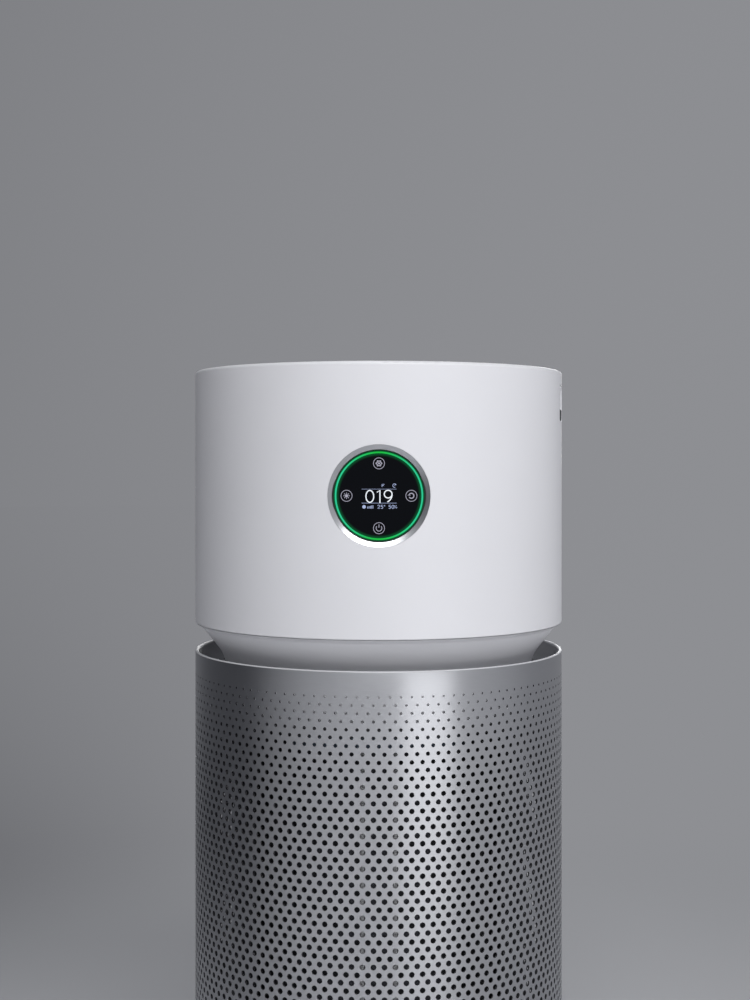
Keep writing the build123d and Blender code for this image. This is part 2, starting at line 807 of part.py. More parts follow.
with BuildPart() as filter_gasket:
    tube(filter_bore + gasket_inset, filter_radius - gasket_inset, filter_top, deck_bottom)
save(filter_gasket, "filter_gasket")

# Neck and cowl under the drum: the neck's flange is screwed to the deck, its tongue centres the cowl
lip_radius = head_inner - snug_gap
slope = radians(cowl_angle)
cone_top = head_bottom - cone_drop
shoulder_radius = body_radius - shoulder_inset
shoulder_level = head_bottom - shoulder_drop
cone_radius = shoulder_radius - shoulder_width
cone_level = cone_top - (lip_radius - cone_radius) / tan(slope)
bend_r = neck_radius + cowl_bend * (1 - cos(slope))
bend_top = cone_top - (lip_radius - bend_r) / tan(slope)
bend_end = bend_top - cowl_bend * sin(slope)
bend_centre = neck_radius + cowl_bend


def on_bend(radius, share):
    """Point on the cowl's bend, from the neck (share 0) to the cone (share 1)."""
    return (bend_centre - radius * cos(slope * share), bend_end + radius * sin(slope * share))


inner_bend = cowl_bend + wall
inner_r, inner_z = on_bend(inner_bend, 1)
neck_inner = neck_radius - wall
tongue_outer = neck_inner - snug_gap
with BuildPart() as neck_tube:
    turn(
        (neck_radius, deck_top),
        (neck_radius, bend_end),
        (tongue_outer, bend_end),
        (tongue_outer, bend_end + tongue_height),
        (tongue_outer - tongue_thick, bend_end + tongue_height),
        (tongue_outer - tongue_thick, bend_end - tongue_height),
        (neck_inner, bend_end - tongue_height - tongue_thick),
        (neck_inner, deck_top + wall),
        (neck_inner - flange_reach, deck_top + wall),
        (neck_inner - flange_reach, deck_top),
    )
    with Locations((0, 0, deck_top)):
        with PolarLocations(neck_screw_circle, neck_screw_count):
            Cylinder(screw_radius + fit_gap, wall, align=UP, mode=Mode.SUBTRACT)
save(neck_tube, "neck_tube")

with BuildPart() as lower_cowl:
    with BuildSketch(Plane.XZ):
        with BuildLine():
            Line((neck_inner, bend_end), (neck_radius, bend_end))
            ThreePointArc((neck_radius, bend_end), on_bend(cowl_bend, 0.5), on_bend(cowl_bend, 1))
            Polyline(
                on_bend(cowl_bend, 1),
                (cone_radius, cone_level),
                (shoulder_radius, shoulder_level),
                (lip_radius, shoulder_level),
                (lip_radius, lip_top),
                (lip_radius - wall, lip_top),
                (lip_radius - wall, inner_z + (lip_radius - wall - inner_r) / tan(slope)),
                (inner_r, inner_z),
            )
            ThreePointArc((inner_r, inner_z), on_bend(inner_bend, 0.5), (neck_inner, bend_end))
        make_face()
    revolve(axis=Axis.Z)
save(lower_cowl, "lower_cowl")

with BuildPart() as neck_screws:
    with Locations((0, 0, deck_top + wall)):
        with PolarLocations(neck_screw_circle, neck_screw_count):
            screw(neck_screw_length)
save(neck_screws, "neck_screws")

# Drum shell with the display opening, its screw bosses and the sensor window
ear_places = [polar(ear_circle, 90 + 360 / ear_count * k, 0)[:2] for k in range(ear_count)]
sensor_side = Location((0, 0, 0), (0, 0, vent_angle))
window_plane = Plane(
    polar(head_inner, vent_angle, vent_top - vent_height / 2),
    x_dir=polar(1, vent_angle + 90, 0),
    z_dir=polar(1, vent_angle, 0),
)
board_front = glass_back - display_board_gap
housing_back = glass_back - housing_depth
ear_plane = board_front
with BuildPart() as head_shell:
    with BuildSketch(Plane.XZ) as section:
        with BuildLine():
            Polyline(
                (head_inner, head_bottom),
                (body_radius, head_bottom),
                (body_radius, head_top),
                (head_inner, head_top),
                close=True,
            )
        make_face()
        fillet(section.vertices().group_by(Axis.Y)[0].sort_by(Axis.X)[-1], lower_round)
        fillet(section.vertices().group_by(Axis.Y)[-1].sort_by(Axis.X)[-1], edge_round)
    revolve(axis=Axis.Z)
    for ear_x, ear_z in ear_places:
        boss_end = sqrt((head_inner + wall / 2) ** 2 - (abs(ear_x) + ear_radius) ** 2)
        with Locations(Location((ear_x, -ear_plane, display_level + ear_z), (90, 0, 0))):
            Cylinder(ear_radius, boss_end - ear_plane, align=UP)
            Cylinder(screw_radius, boss_end - ear_plane - boss_skin, align=UP, mode=Mode.SUBTRACT)
    with Locations(Location((0, -body_radius, display_level), (90, 0, 0))):
        Cylinder(dish_radius + snug_gap, 6 * wall, mode=Mode.SUBTRACT)
    with BuildSketch(window_plane) as window:
        Rectangle(vent_width + 2 * fit_gap, vent_height)
        fillet(window.vertices().group_by(Axis.Y)[0], vent_round)
    extrude(amount=2 * wall, both=True, mode=Mode.SUBTRACT)
    with Locations(sensor_side):
        with Locations(Location((cover_pin_x, 0, cover_pin_z), (90, 0, 0))):
            Cylinder(cover_pin_radius, vent_width + 2 * cover_pin_bite, mode=Mode.SUBTRACT)
save(head_shell, "head_shell")

# Display: dish-shaped bezel, glass, light ring, screen, board and housing
with BuildPart() as display_bezel:
    with Locations(Location((0, -glass_back, display_level), (90, 0, 0))):
        Cylinder(dish_radius, glass_setback + glass_thick, align=UP)
    with Locations((0, 0, display_level)):
        Cylinder(body_radius, 4 * dish_radius, mode=Mode.INTERSECT)
    with Locations(Location((0, -glass_back, display_level), (90, 0, 0))):
        Cylinder(glass_radius + snug_gap, glass_thick, align=UP, mode=Mode.SUBTRACT)
    with Locations(Location((0, -glass_face, display_level), (90, 0, 0))):
        Cone(glass_radius + snug_gap, dish_radius - snug_gap, glass_setback, align=UP, mode=Mode.SUBTRACT)
save(display_bezel, "display_bezel")

light_inner = light_radius - light_width / 2
light_outer = light_radius + light_width / 2
with BuildPart() as display_glass:
    with Locations(Location((0, -glass_back, display_level), (90, 0, 0))):
        Cylinder(glass_radius, glass_thick, align=UP)
        Cylinder(light_outer, glass_thick, align=UP, mode=Mode.SUBTRACT)
        Cylinder(light_inner, glass_thick, align=UP)
save(display_glass, "display_glass")

with BuildPart() as light_ring:
    with Locations(Location((0, -glass_face, display_level), (90, 0, 0))):
        Cylinder(light_outer, light_depth, align=DOWN)
        Cylinder(light_inner, light_depth, align=DOWN, mode=Mode.SUBTRACT)
save(light_ring, "light_ring")

with BuildPart() as screen_panel:
    with Locations((0, -glass_back + screen_thick / 2, display_level)):
        Box(screen_width, screen_thick, screen_height)
save(screen_panel, "screen_panel")

board_radius = dish_radius - housing_wall - fit_gap
with BuildPart() as display_board:
    with Locations(Location((0, -board_front, display_level), (90, 0, 0))):
        Cylinder(board_radius, board_thick, align=DOWN)
        with PolarLocations(light_radius, led_count):
            Box(led_width, led_length, led_height, align=UP)
    with Locations((0, -board_front - (display_board_gap - screen_thick) / 2, display_level)):
        Box(screen_width / 2, display_board_gap - screen_thick, screen_height / 2)
save(display_board, "display_board")

cavity_radius = dish_radius - housing_wall
with BuildPart() as display_housing:
    with Locations(Location((0, -housing_back, display_level), (90, 0, 0))):
        Cylinder(dish_radius, housing_depth, align=UP)
    for ear_x, ear_z in ear_places:
        with Locations(Location((ear_x, -ear_plane, display_level + ear_z), (90, 0, 0))):
            Cylinder(ear_radius, ear_thick, align=DOWN)
        reach = 1 - ear_radius / ear_circle
        with Locations((ear_x * reach, -ear_plane + ear_thick / 2, display_level + ear_z * reach)):
            Box(2 * ear_radius, ear_thick, 2 * ear_radius)
    with Locations(Location((0, -board_front, display_level), (90, 0, 0))):
        Cylinder(cavity_radius, display_board_gap, align=UP, mode=Mode.SUBTRACT)
        Cylinder(cavity_radius, board_thick, align=DOWN, mode=Mode.SUBTRACT)
    with Locations(Location((0, -housing_back, display_level), (90, 0, 0))):
        with Locations((0, 0, housing_wall)):
            Cylinder(cavity_radius - board_rest, housing_depth, align=UP, mode=Mode.SUBTRACT)
    for ear_x, ear_z in ear_places:
        with Locations(Location((ear_x, -ear_plane, display_level + ear_z), (90, 0, 0))):
            Cylinder(screw_radius + fit_gap, ear_thick, align=DOWN, mode=Mode.SUBTRACT)
save(display_housing, "display_housing")

with BuildPart() as display_screws:
    for ear_x, ear_z in ear_places:
        with Locations(Location((ear_x, -ear_plane + ear_thick, display_level + ear_z), (-90, 0, 0))):
            screw(ear_thick + ear_bite)
save(display_screws, "display_screws")

# Hinged sensor cover in the drum's right side, its pin and the sensor, drawn at +X and turned to their place
cover_inner = cover_outer - vent_cover_thick
cover_bottom = vent_top - vent_height + fit_gap
cover_half = degrees(asin(vent_width / 2 / cover_outer))
slot_pitch = (vent_height - 4 * barrel_radius) / vent_slots
with BuildPart() as sensor_cover:
    sector(cover_inner, cover_outer, -cover_half, cover_half, cover_bottom, cover_pin_z)
    fillet(sensor_cover.edges().group_by(Axis.Z)[0].filter_by(GeomType.LINE), vent_round)
    with Locations(Location((cover_pin_x, 0, cover_pin_z), (90, 0, 0))):
        Cylinder(barrel_radius, vent_width)
        Cylinder(cover_pin_radius + run_gap, vent_width, mode=Mode.SUBTRACT)
    for row in range(vent_slots):
        with Locations((cover_outer, 0, cover_bottom + barrel_radius + (row + 0.5) * slot_pitch)):
            Box(6 * vent_cover_thick, vent_slot_width, vent_slot_height, mode=Mode.SUBTRACT)
save(sensor_cover, "sensor_cover", vent_angle)

with BuildPart() as cover_pin:
    with Locations(Location((cover_pin_x, 0, cover_pin_z), (90, 0, 0))):
        Cylinder(cover_pin_radius, vent_width + 2 * cover_pin_bite)
save(cover_pin, "cover_pin", vent_angle)

sensor_centre = min(vent_top - vent_height / 2, casing_top - sensor_height / 2 - fit_gap)
with BuildPart() as sensor_module:
    with Locations((pad_face + sensor_thick / 2, 0, sensor_centre)):
        Box(sensor_thick, sensor_width, sensor_height)
    fillet(sensor_module.edges().filter_by(Axis.X), sensor_round)
    with Locations(Location((pad_face + sensor_thick, 0, sensor_centre), (0, 90, 0))):
        with Locations((-mouth_rise, -mouth_side, 0)):
            Cylinder(mouth_radius, mouth_depth, align=DOWN, mode=Mode.SUBTRACT)
        with Locations((0, gill_side, 0)):
            Box(gill_length, gill_width, mouth_depth, align=DOWN, mode=Mode.SUBTRACT)
save(sensor_module, "sensor_module", vent_angle)

# Inlet nozzle under the fan
nozzle_mid = nozzle_round * sqrt(0.5)
nozzle_bend = lip_top + nozzle_round
nozzle_foot = nozzle_radius + nozzle_round
outer_mid = (nozzle_round - nozzle_wall) * sqrt(0.5)
casing_screw_circle = (casing_outer + flange_radius) / 2
with BuildPart() as fan_inlet:
    with BuildSketch(Plane.XZ):
        with BuildLine():
            ThreePointArc(
                (nozzle_foot, lip_top),
                (nozzle_foot - nozzle_mid, nozzle_bend - nozzle_mid),
                (nozzle_radius, nozzle_bend),
            )
            Polyline(
                (nozzle_radius, nozzle_bend),
                (nozzle_radius, nozzle_top),
                (nozzle_radius + nozzle_wall, nozzle_top),
                (nozzle_radius + nozzle_wall, nozzle_bend),
            )
            ThreePointArc(
                (nozzle_radius + nozzle_wall, nozzle_bend),
                (nozzle_foot - outer_mid, nozzle_bend - outer_mid),
                (nozzle_foot, nozzle_plate_top),
            )
            Polyline(
                (nozzle_foot, nozzle_plate_top),
                (flange_radius, nozzle_plate_top),
                (flange_radius, lip_top),
                (nozzle_foot, lip_top),
            )
        make_face()
    revolve(axis=Axis.Z)
    with Locations((0, 0, lip_top)):
        with PolarLocations(casing_screw_circle, casing_screw_count):
            Cylinder(casing_boss_radius, casing_boss_height, align=DOWN)
    with Locations((0, 0, nozzle_plate_top)):
        with PolarLocations(casing_screw_circle, casing_screw_count):
            Cylinder(screw_radius, casing_screw_length - wall, align=DOWN, mode=Mode.SUBTRACT)
save(fan_inlet, "fan_inlet")

# Fan casing: duct, flange, ledge of the guide vanes, board standoffs and sensor pad
band_bottom = drum_bottom + vane_inset
control_middle = control_bottom + control_height / 2
control_fixings = (control_width - 2 * standoff_inset, control_height - 2 * standoff_inset)
with BuildPart() as fan_casing:
    turn(
        (casing_radius, nozzle_plate_top),
        (flange_radius, nozzle_plate_top),
        (flange_radius, flange_top),
        (casing_outer, flange_top),
        (casing_outer, casing_top),
        (casing_radius, casing_top),
        (casing_radius, band_bottom),
        (casing_radius - ledge_width, band_bottom),
        (casing_radius, band_bottom - ledge_height),
    )
    with Locations((0, 0, nozzle_plate_top)):
        with PolarLocations(casing_screw_circle, casing_screw_count):
            Cylinder(screw_radius + fit_gap, wall, align=UP, mode=Mode.SUBTRACT)
    with Locations(Location((0, control_plane, control_middle), (-90, 0, 0))):
        with GridLocations(*control_fixings, 2, 2):
            Cylinder(standoff_radius, 3 * control_gap + wall, align=DOWN)
            Cylinder(screw_radius, board_screw_length - board_thick, align=DOWN, mode=Mode.SUBTRACT)
    with Locations(sensor_side):
        with Locations((pad_face, 0, sensor_centre)):
            Box(
                pad_face - casing_outer + wall / 2,
                sensor_width - 2 * pad_margin,
                sensor_height - 2 * pad_margin,
                align=(Align.MAX, Align.CENTER, Align.CENTER),
            )
save(fan_casing, "fan_casing")

with BuildPart() as casing_screws:
    with Locations((0, 0, flange_top)):
        with PolarLocations(casing_screw_circle, casing_screw_count):
            screw(casing_screw_length)
save(casing_screws, "casing_screws")

# Control board on the back of the casing
with BuildPart() as control_board:
    with Locations(Location((0, control_plane, control_middle), (-90, 0, 0))):
        Box(control_width, control_height, board_thick, align=UP)
        with GridLocations(*control_fixings, 2, 2):
            Cylinder(screw_radius + fit_gap, board_thick, align=UP, mode=Mode.SUBTRACT)
        with Locations((0, chip_rise, board_thick)):
            Box(chip_size, chip_size, chip_height, align=UP)
        with Locations((-driver_side, -driver_drop, board_thick)):
            Box(driver_width, driver_length, driver_height, align=UP)
        with Locations((0, control_height / 2 - plug_inset, board_thick)):
            with GridLocations(plug_pitch, 1, plug_count, 1):
                Box(plug_width, plug_size, plug_size, align=UP)
        with Locations((reservoir_side, -reservoir_drop, board_thick)):
            with GridLocations(1, reservoir_pitch, 1, 2):
                Cylinder(reservoir_radius, reservoir_height, align=UP)
save(control_board, "control_board")

with BuildPart() as board_screws:
    with Locations(Location((0, control_plane + board_thick, control_middle), (-90, 0, 0))):
        with GridLocations(*control_fixings, 2, 2):
            screw(board_screw_length)
    with Locations(Location((0, power_middle, parts_top), (180, 0, 0))):
        with GridLocations(*power_fixings, 2, 2):
            screw(board_thick + power_drop)
save(board_screws, "board_screws")

# Fan wheel: hub, outer wall and blades trimmed to the passage between them
eye_top = wheel_bottom + eye_height
shroud_top = eye_top + shroud_rise
hub_edge = wheel_radius - outlet_width
hub_bottom = wheel_bottom + eye_height + hub_thick
with BuildPart() as fan_wheel:
    with BuildSketch(Plane.XY.offset(wheel_bottom)):
        add(fin_plan(blade_count, blade_root, wheel_radius, blade_lead, blade_thick))
    extrude(amount=wheel_height)
    with BuildSketch(Plane.XZ) as passage:
        with BuildLine():
            Polyline(
                (blade_root, hub_bottom),
                (eye_radius, eye_top),
                (eye_radius + shroud_thick / 2, eye_top),
                (wheel_radius, shroud_top),
                (hub_edge, wheel_top - hub_thick / 4),
                (hub_boss_radius, hub_bottom),
                close=True,
            )
        make_face()
    revolve(passage.sketch, axis=Axis.Z, mode=Mode.INTERSECT)
    turn(
        (eye_radius, wheel_bottom),
        (eye_radius + shroud_thick, wheel_bottom),
        (eye_radius + shroud_thick, eye_top),
        (wheel_radius, shroud_top - shroud_thick),
        (wheel_radius, shroud_top),
        (eye_radius, eye_top),
    )
    turn(
        (shaft_radius, hub_bottom),
        (hub_boss_radius, hub_bottom),
        (hub_edge, wheel_top - hub_thick / 2),
        (hub_edge, wheel_top),
        (hub_edge - hub_thick, wheel_top),
        (hub_boss_radius, hub_bottom + hub_thick),
        (hub_boss_radius, wheel_top),
        (shaft_radius, wheel_top),
    )
save(fan_wheel, "fan_wheel")

with BuildPart() as fan_nut:
    with BuildSketch(Plane.XY.offset(hub_bottom - nut_height)):
        RegularPolygon(nut_width / 2, 6, major_radius=False)
        Circle(shaft_radius, mode=Mode.SUBTRACT)
    extrude(amount=nut_height)
save(fan_nut, "fan_nut")

with BuildPart() as motor_shaft:
    with Locations((0, 0, hub_bottom - nut_height - shaft_show)):
        Cylinder(shaft_radius, motor_top - wall - hub_bottom + nut_height, align=UP)
    chamfer(motor_shaft.edges().filter_by(GeomType.CIRCLE), shaft_chamfer)
save(motor_shaft, "motor_shaft")

# Guide vanes with the motor drum
vane_outer = casing_radius - snug_gap
with BuildPart() as guide_vanes:
    with BuildSketch(Plane.XY.offset(band_bottom)):
        add(fin_plan(vane_count, hub_edge - vane_bite, vane_outer - vane_bite, vane_lead, vane_thick))
    extrude(amount=vane_height)
    tube(vane_outer - band_thick, vane_outer, band_bottom, band_bottom + band_height)
    turn(
        (shaft_hole, drum_bottom),
        (hub_edge, drum_bottom),
        (hub_edge, drum_top),
        (hub_edge - wall, drum_top),
        (hub_edge - wall, floor_top),
        (shaft_hole, floor_top),
    )
    with Locations((0, 0, drum_bottom)):
        with PolarLocations(motor_circle, motor_screw_count):
            Cylinder(screw_radius + fit_gap, drum_floor, align=UP, mode=Mode.SUBTRACT)
save(guide_vanes, "guide_vanes")

with BuildPart() as drum_cap:
    with Locations((0, 0, drum_top)):
        Cylinder(hub_edge, cap_thick, align=UP)
        Cylinder(hub_edge - wall - snug_gap, cap_thick, align=DOWN)
    fillet(drum_cap.edges().group_by(Axis.Z)[-1], cap_edge)
save(drum_cap, "drum_cap")

# Motor
with BuildPart() as motor_mounts:
    with Locations((0, 0, floor_top)):
        with PolarLocations(motor_circle, motor_screw_count):
            Cylinder(mount_radius, mount_thick, align=UP)
            Cylinder(screw_radius + fit_gap, mount_thick, align=UP, mode=Mode.SUBTRACT)
save(motor_mounts, "motor_mounts")

with BuildPart() as motor_screws:
    with Locations(Location((0, 0, drum_bottom), (180, 0, 0))):
        with PolarLocations(motor_circle, motor_screw_count):
            screw(drum_floor + mount_thick + cover_height - thread_skin)
save(motor_screws, "motor_screws")

with BuildPart() as motor_cover:
    turn(
        (shaft_radius + shaft_clear, motor_bottom),
        (motor_radius, motor_bottom),
        (motor_radius, bell_bottom),
        (bearing_radius, bell_bottom),
        (bearing_radius, bell_bottom - bearing_width),
        (shaft_radius + shaft_clear, bell_bottom - bearing_width),
    )
    with Locations((0, 0, motor_bottom)):
        with PolarLocations(motor_circle, motor_screw_count):
            Cylinder(screw_radius, cover_height - thread_skin, align=UP, mode=Mode.SUBTRACT)
save(motor_cover, "motor_cover")

seat_bottom = motor_top - wall - bearing_width
with BuildPart() as motor_housing:
    turn(
        (motor_radius - wall, bell_bottom),
        (motor_radius, bell_bottom),
        (motor_radius, motor_top),
        (0, motor_top),
        (0, motor_top - wall),
        (bearing_radius, motor_top - wall),
        (bearing_radius, seat_bottom),
        (bearing_radius + wall, seat_bottom),
        (bearing_radius + wall, motor_top - wall),
        (motor_radius - wall, motor_top - wall),
    )
    fillet(motor_housing.edges().filter_by(GeomType.CIRCLE).group_by(Axis.Z)[-1], motor_round)
save(motor_housing, "motor_housing")

with BuildPart() as motor_bearings:
    for level in (bell_bottom - bearing_width, seat_bottom):
        tube(shaft_radius + run_gap, bearing_radius, level, level + bearing_width)
save(motor_bearings, "motor_bearings")

rotor_bottom = (bell_bottom + seat_bottom - rotor_height) / 2
with BuildPart() as motor_rotor:
    tube(shaft_radius, rotor_radius, rotor_bottom, rotor_bottom + rotor_height)
save(motor_rotor, "motor_rotor")

stator_outer = motor_radius - wall
tooth_tip = rotor_radius + air_gap
yoke_inner = stator_outer - yoke_width
with BuildPart() as motor_stator:
    tube(yoke_inner, stator_outer, rotor_bottom, rotor_bottom + rotor_height)
    with Locations((0, 0, rotor_bottom)):
        with PolarLocations((tooth_tip + yoke_inner) / 2 + tooth_bite, tooth_count):
            Box(yoke_inner - tooth_tip, tooth_width, rotor_height, align=UP)
save(motor_stator, "motor_stator")

coil_length = yoke_inner - tooth_tip - 2 * coil_margin
with BuildPart() as stator_coils:
    with Locations((0, 0, rotor_bottom + rotor_height / 2)):
        with PolarLocations((tooth_tip + yoke_inner) / 2, tooth_count):
            Box(coil_length, coil_width, rotor_height + 2 * coil_over)
            Box(coil_length, tooth_width, rotor_height, mode=Mode.SUBTRACT)
save(stator_coils, "stator_coils")

# Top ring, outlet grille and its cap
ring_inner = casing_outer + fit_gap
ring_outer = head_inner - snug_gap
ring_top = head_top - rim_drop
fall = (ring_top - grille_top) / (ring_outer - ring_inner)
notch_height = vent_top - casing_top + wall
with BuildPart() as top_ring:
    turn(
        (ring_inner, casing_top),
        (ring_inner + ring_wall, casing_top),
        (ring_inner + ring_wall, grille_top - ring_wall + fall * ring_wall),
        (ring_outer - ring_wall, ring_top - ring_wall - fall * ring_wall),
        (ring_outer - ring_wall, casing_top),
        (ring_outer, casing_top),
        (ring_outer, ring_top),
        (ring_inner, grille_top),
    )
    with Locations(sensor_side):
        with Locations((ring_outer, 0, casing_top)):
            Box(4 * ring_wall, sensor_width + 2 * wall, notch_height, align=UP, mode=Mode.SUBTRACT)
save(top_ring, "top_ring")

rim_inner = casing_outer - grille_rim
ring_pitch = (rim_inner - grille_hub) / (ring_count + 1)
with BuildPart() as outlet_grille:
    with BuildSketch(Plane.XY.offset(casing_top)):
        add(fin_plan(fin_count, grille_hub - fin_bite, rim_inner + fin_bite, fin_lead, fin_thick))
        add(ring_plan(rim_inner, casing_outer))
        add(ring_plan(grille_hub - grille_rim, grille_hub))
        for k in range(ring_count):
            ring_at = grille_hub + (k + 1) * ring_pitch
            add(ring_plan(ring_at - grille_ring / 2, ring_at + grille_ring / 2))
    extrude(amount=grille_height)
save(outlet_grille, "outlet_grille")

with BuildPart() as grille_cap:
    with Locations((0, 0, grille_top)):
        Cylinder(grille_hub, hub_cap_thick, align=UP)
        Cylinder(grille_hub - grille_rim - snug_gap, grille_height / 2, align=DOWN)
    fillet(grille_cap.edges().group_by(Axis.Z)[-1], hub_cap_edge)
save(grille_cap, "grille_cap")
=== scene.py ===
"""Looks of a round floor-standing air purifier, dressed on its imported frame.

Everything is in metres, +Z up, with the display towards -Y. New pieces are numpy surfaces that take
their places from the frame; finishes are procedural materials with patterns scaled in millimetres.
"""

import json
import logging
import math
from dataclasses import dataclass, field
from enum import Enum
from functools import lru_cache

import bpy
import numpy as np
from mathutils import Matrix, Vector

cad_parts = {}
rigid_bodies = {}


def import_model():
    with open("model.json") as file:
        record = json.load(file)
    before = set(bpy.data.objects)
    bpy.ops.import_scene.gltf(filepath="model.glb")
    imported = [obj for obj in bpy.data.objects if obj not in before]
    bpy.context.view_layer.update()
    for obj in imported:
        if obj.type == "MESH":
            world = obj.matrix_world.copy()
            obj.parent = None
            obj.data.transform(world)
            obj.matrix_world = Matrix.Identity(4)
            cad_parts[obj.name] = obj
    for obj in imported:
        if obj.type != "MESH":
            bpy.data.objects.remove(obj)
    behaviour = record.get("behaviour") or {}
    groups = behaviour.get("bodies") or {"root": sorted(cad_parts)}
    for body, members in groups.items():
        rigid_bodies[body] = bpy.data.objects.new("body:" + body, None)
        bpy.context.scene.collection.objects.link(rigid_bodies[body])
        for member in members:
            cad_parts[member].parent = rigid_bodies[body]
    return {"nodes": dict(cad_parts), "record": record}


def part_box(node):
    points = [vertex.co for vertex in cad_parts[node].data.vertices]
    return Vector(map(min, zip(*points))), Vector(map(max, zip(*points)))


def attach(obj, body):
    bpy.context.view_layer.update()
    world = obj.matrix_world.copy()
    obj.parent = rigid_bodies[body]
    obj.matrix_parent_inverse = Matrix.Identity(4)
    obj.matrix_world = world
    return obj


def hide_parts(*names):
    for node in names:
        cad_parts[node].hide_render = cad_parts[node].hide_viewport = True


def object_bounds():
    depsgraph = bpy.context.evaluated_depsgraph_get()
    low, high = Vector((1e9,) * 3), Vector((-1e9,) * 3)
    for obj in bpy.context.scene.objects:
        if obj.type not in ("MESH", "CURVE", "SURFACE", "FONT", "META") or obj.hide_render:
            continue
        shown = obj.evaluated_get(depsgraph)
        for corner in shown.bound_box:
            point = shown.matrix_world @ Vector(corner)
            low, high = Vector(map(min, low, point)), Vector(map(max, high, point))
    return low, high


for leftover in list(bpy.data.objects):
    bpy.data.objects.remove(leftover)
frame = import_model()
CAD_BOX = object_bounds()

log = logging.getLogger("purifier")
MM = 0.001
FULL_TURN = 2 * math.pi
FRONT_DEG = 270.0
REAR_DEG = 450.0             # a full turn past 90, so that angles rise from the front on
HALF_DOOR_DEG = 82.0         # half of the door's angle about the rear
Node = bpy.types.Node
Socket = bpy.types.NodeSocket
Tree = bpy.types.NodeTree
Feeds = dict[str | int, object]
Colour = tuple[float, float, float, float]
Place = tuple[float, float, float]


class Body(Enum):
    """Bodies of the frame that new pieces ride on."""

    MAIN = "body"
    DOOR = "door"
    VENT = "vent_cover"


class Axis(Enum):
    """Index of a coordinate axis."""

    X = 0
    Y = 1
    Z = 2


def linear(code: str) -> Colour:
    """Turn an sRGB hex colour into linear RGBA.

    Args:
        code: colour as #RRGGBB.

    Returns:
        Linear red, green and blue, with full alpha.
    """
    srgb = np.array([int(code[k:k + 2], 16) for k in (1, 3, 5)]) / 255
    low = srgb / 12.92
    high = ((srgb + 0.055) / 1.055) ** 2.4
    return (*map(float, np.where(srgb <= 0.04045, low, high)), 1.0)


def shaded(code: str, factor: float) -> Colour:
    """Return a hex colour as linear RGBA, made lighter or darker by a factor."""
    *channels, alpha = linear(code)
    return (*(min(channel * factor, 1.0) for channel in channels), alpha)


def per_metre(size_mm: float) -> float:
    """Return how many patterns of a size in millimetres lie along a metre."""
    return 1 / (size_mm * MM)


def cleared(owner: bpy.types.Material | bpy.types.World) -> Tree:
    """Return the node tree of a new material or world, emptied."""
    owner.use_nodes = True
    owner.node_tree.nodes.clear()
    return owner.node_tree


def feed(tree: Tree, node: Node, sockets: Feeds) -> None:
    """Set or link inputs of a node.

    Args:
        tree: node tree that holds the node.
        node: the node.
        sockets: name of an input, or its place among those in use, to a value, to the socket that feeds
            it, or to the node whose first output in use does.
    """
    in_use = [entry for entry in node.inputs if entry.enabled]
    for key, value in sockets.items():
        entry = in_use[key] if isinstance(key, int) else node.inputs[key]
        if isinstance(value, Node):
            value = next(output for output in value.outputs if output.enabled)
        if isinstance(value, Socket):
            tree.links.new(value, entry)
        else:
            entry.default_value = value


def put(tree: Tree, kind: str, sockets: Feeds | None = None, **settings: object) -> Node:
    """Add a shader node with its settings and links.

    Args:
        tree: node tree that takes the node.
        kind: node type without its ShaderNode prefix.
        sockets: what its inputs are set to or fed by.
        settings: properties of the node.

    Returns:
        The new node.
    """
    node = tree.nodes.new("ShaderNode" + kind)
    for name, value in settings.items():
        setattr(node, name, value)
    feed(tree, node, sockets or {})
    return node


@dataclass(frozen=True)
class Finish:
    """A surface finish: the material's plain name, its colour and its gloss."""

    name: str
    colour: str
    roughness: float
    ior: float = 1.5

    METAL = False

    def principled(self) -> Feeds:
        """Return the shader's constant sockets; a metal keeps the default refraction."""
        kind = {"Metallic": 1.0} if self.METAL else {"IOR": self.ior}
        return {"Base Color": linear(self.colour), "Roughness": self.roughness} | kind

    def pattern(self, tree: Tree) -> Feeds:
        """Add the finish's own pattern; each kind of finish has one.

        Args:
            tree: the material's node tree.

        Returns:
            What feeds the shader.
        """
        raise NotImplementedError

    @lru_cache(maxsize=None)
    def material(self) -> bpy.types.Material:
        """Make the material once.

        Returns:
            The finished material.
        """
        made = bpy.data.materials.new(self.name)
        tree = cleared(made)
        shader = put(tree, "BsdfPrincipled", self.principled())
        feed(tree, shader, self.pattern(tree))
        put(tree, "OutputMaterial", {"Surface": shader})
        return made

    def varied(self, tree: Tree, level: Node, swing: float, gloss_swing: float) -> Feeds:
        """Let a pattern that runs from nought to one vary the colour and the gloss.

        Args:
            tree: the material's node tree.
            level: the pattern.
            swing: how far the colour goes up and down, as a share.
            gloss_swing: the same for the roughness.

        Returns:
            What feeds the shader's colour and roughness.
        """
        ends = {1: shaded(self.colour, 1 - swing), 2: shaded(self.colour, 1 + swing)}
        tint = put(tree, "Mix", {0: level} | ends, data_type="RGBA")
        gloss = put(tree, "MapRange", {"Value": level, "To Min": self.roughness * (1 - gloss_swing),
                                       "To Max": self.roughness * (1 + gloss_swing)})
        return {"Base Color": tint, "Roughness": gloss}


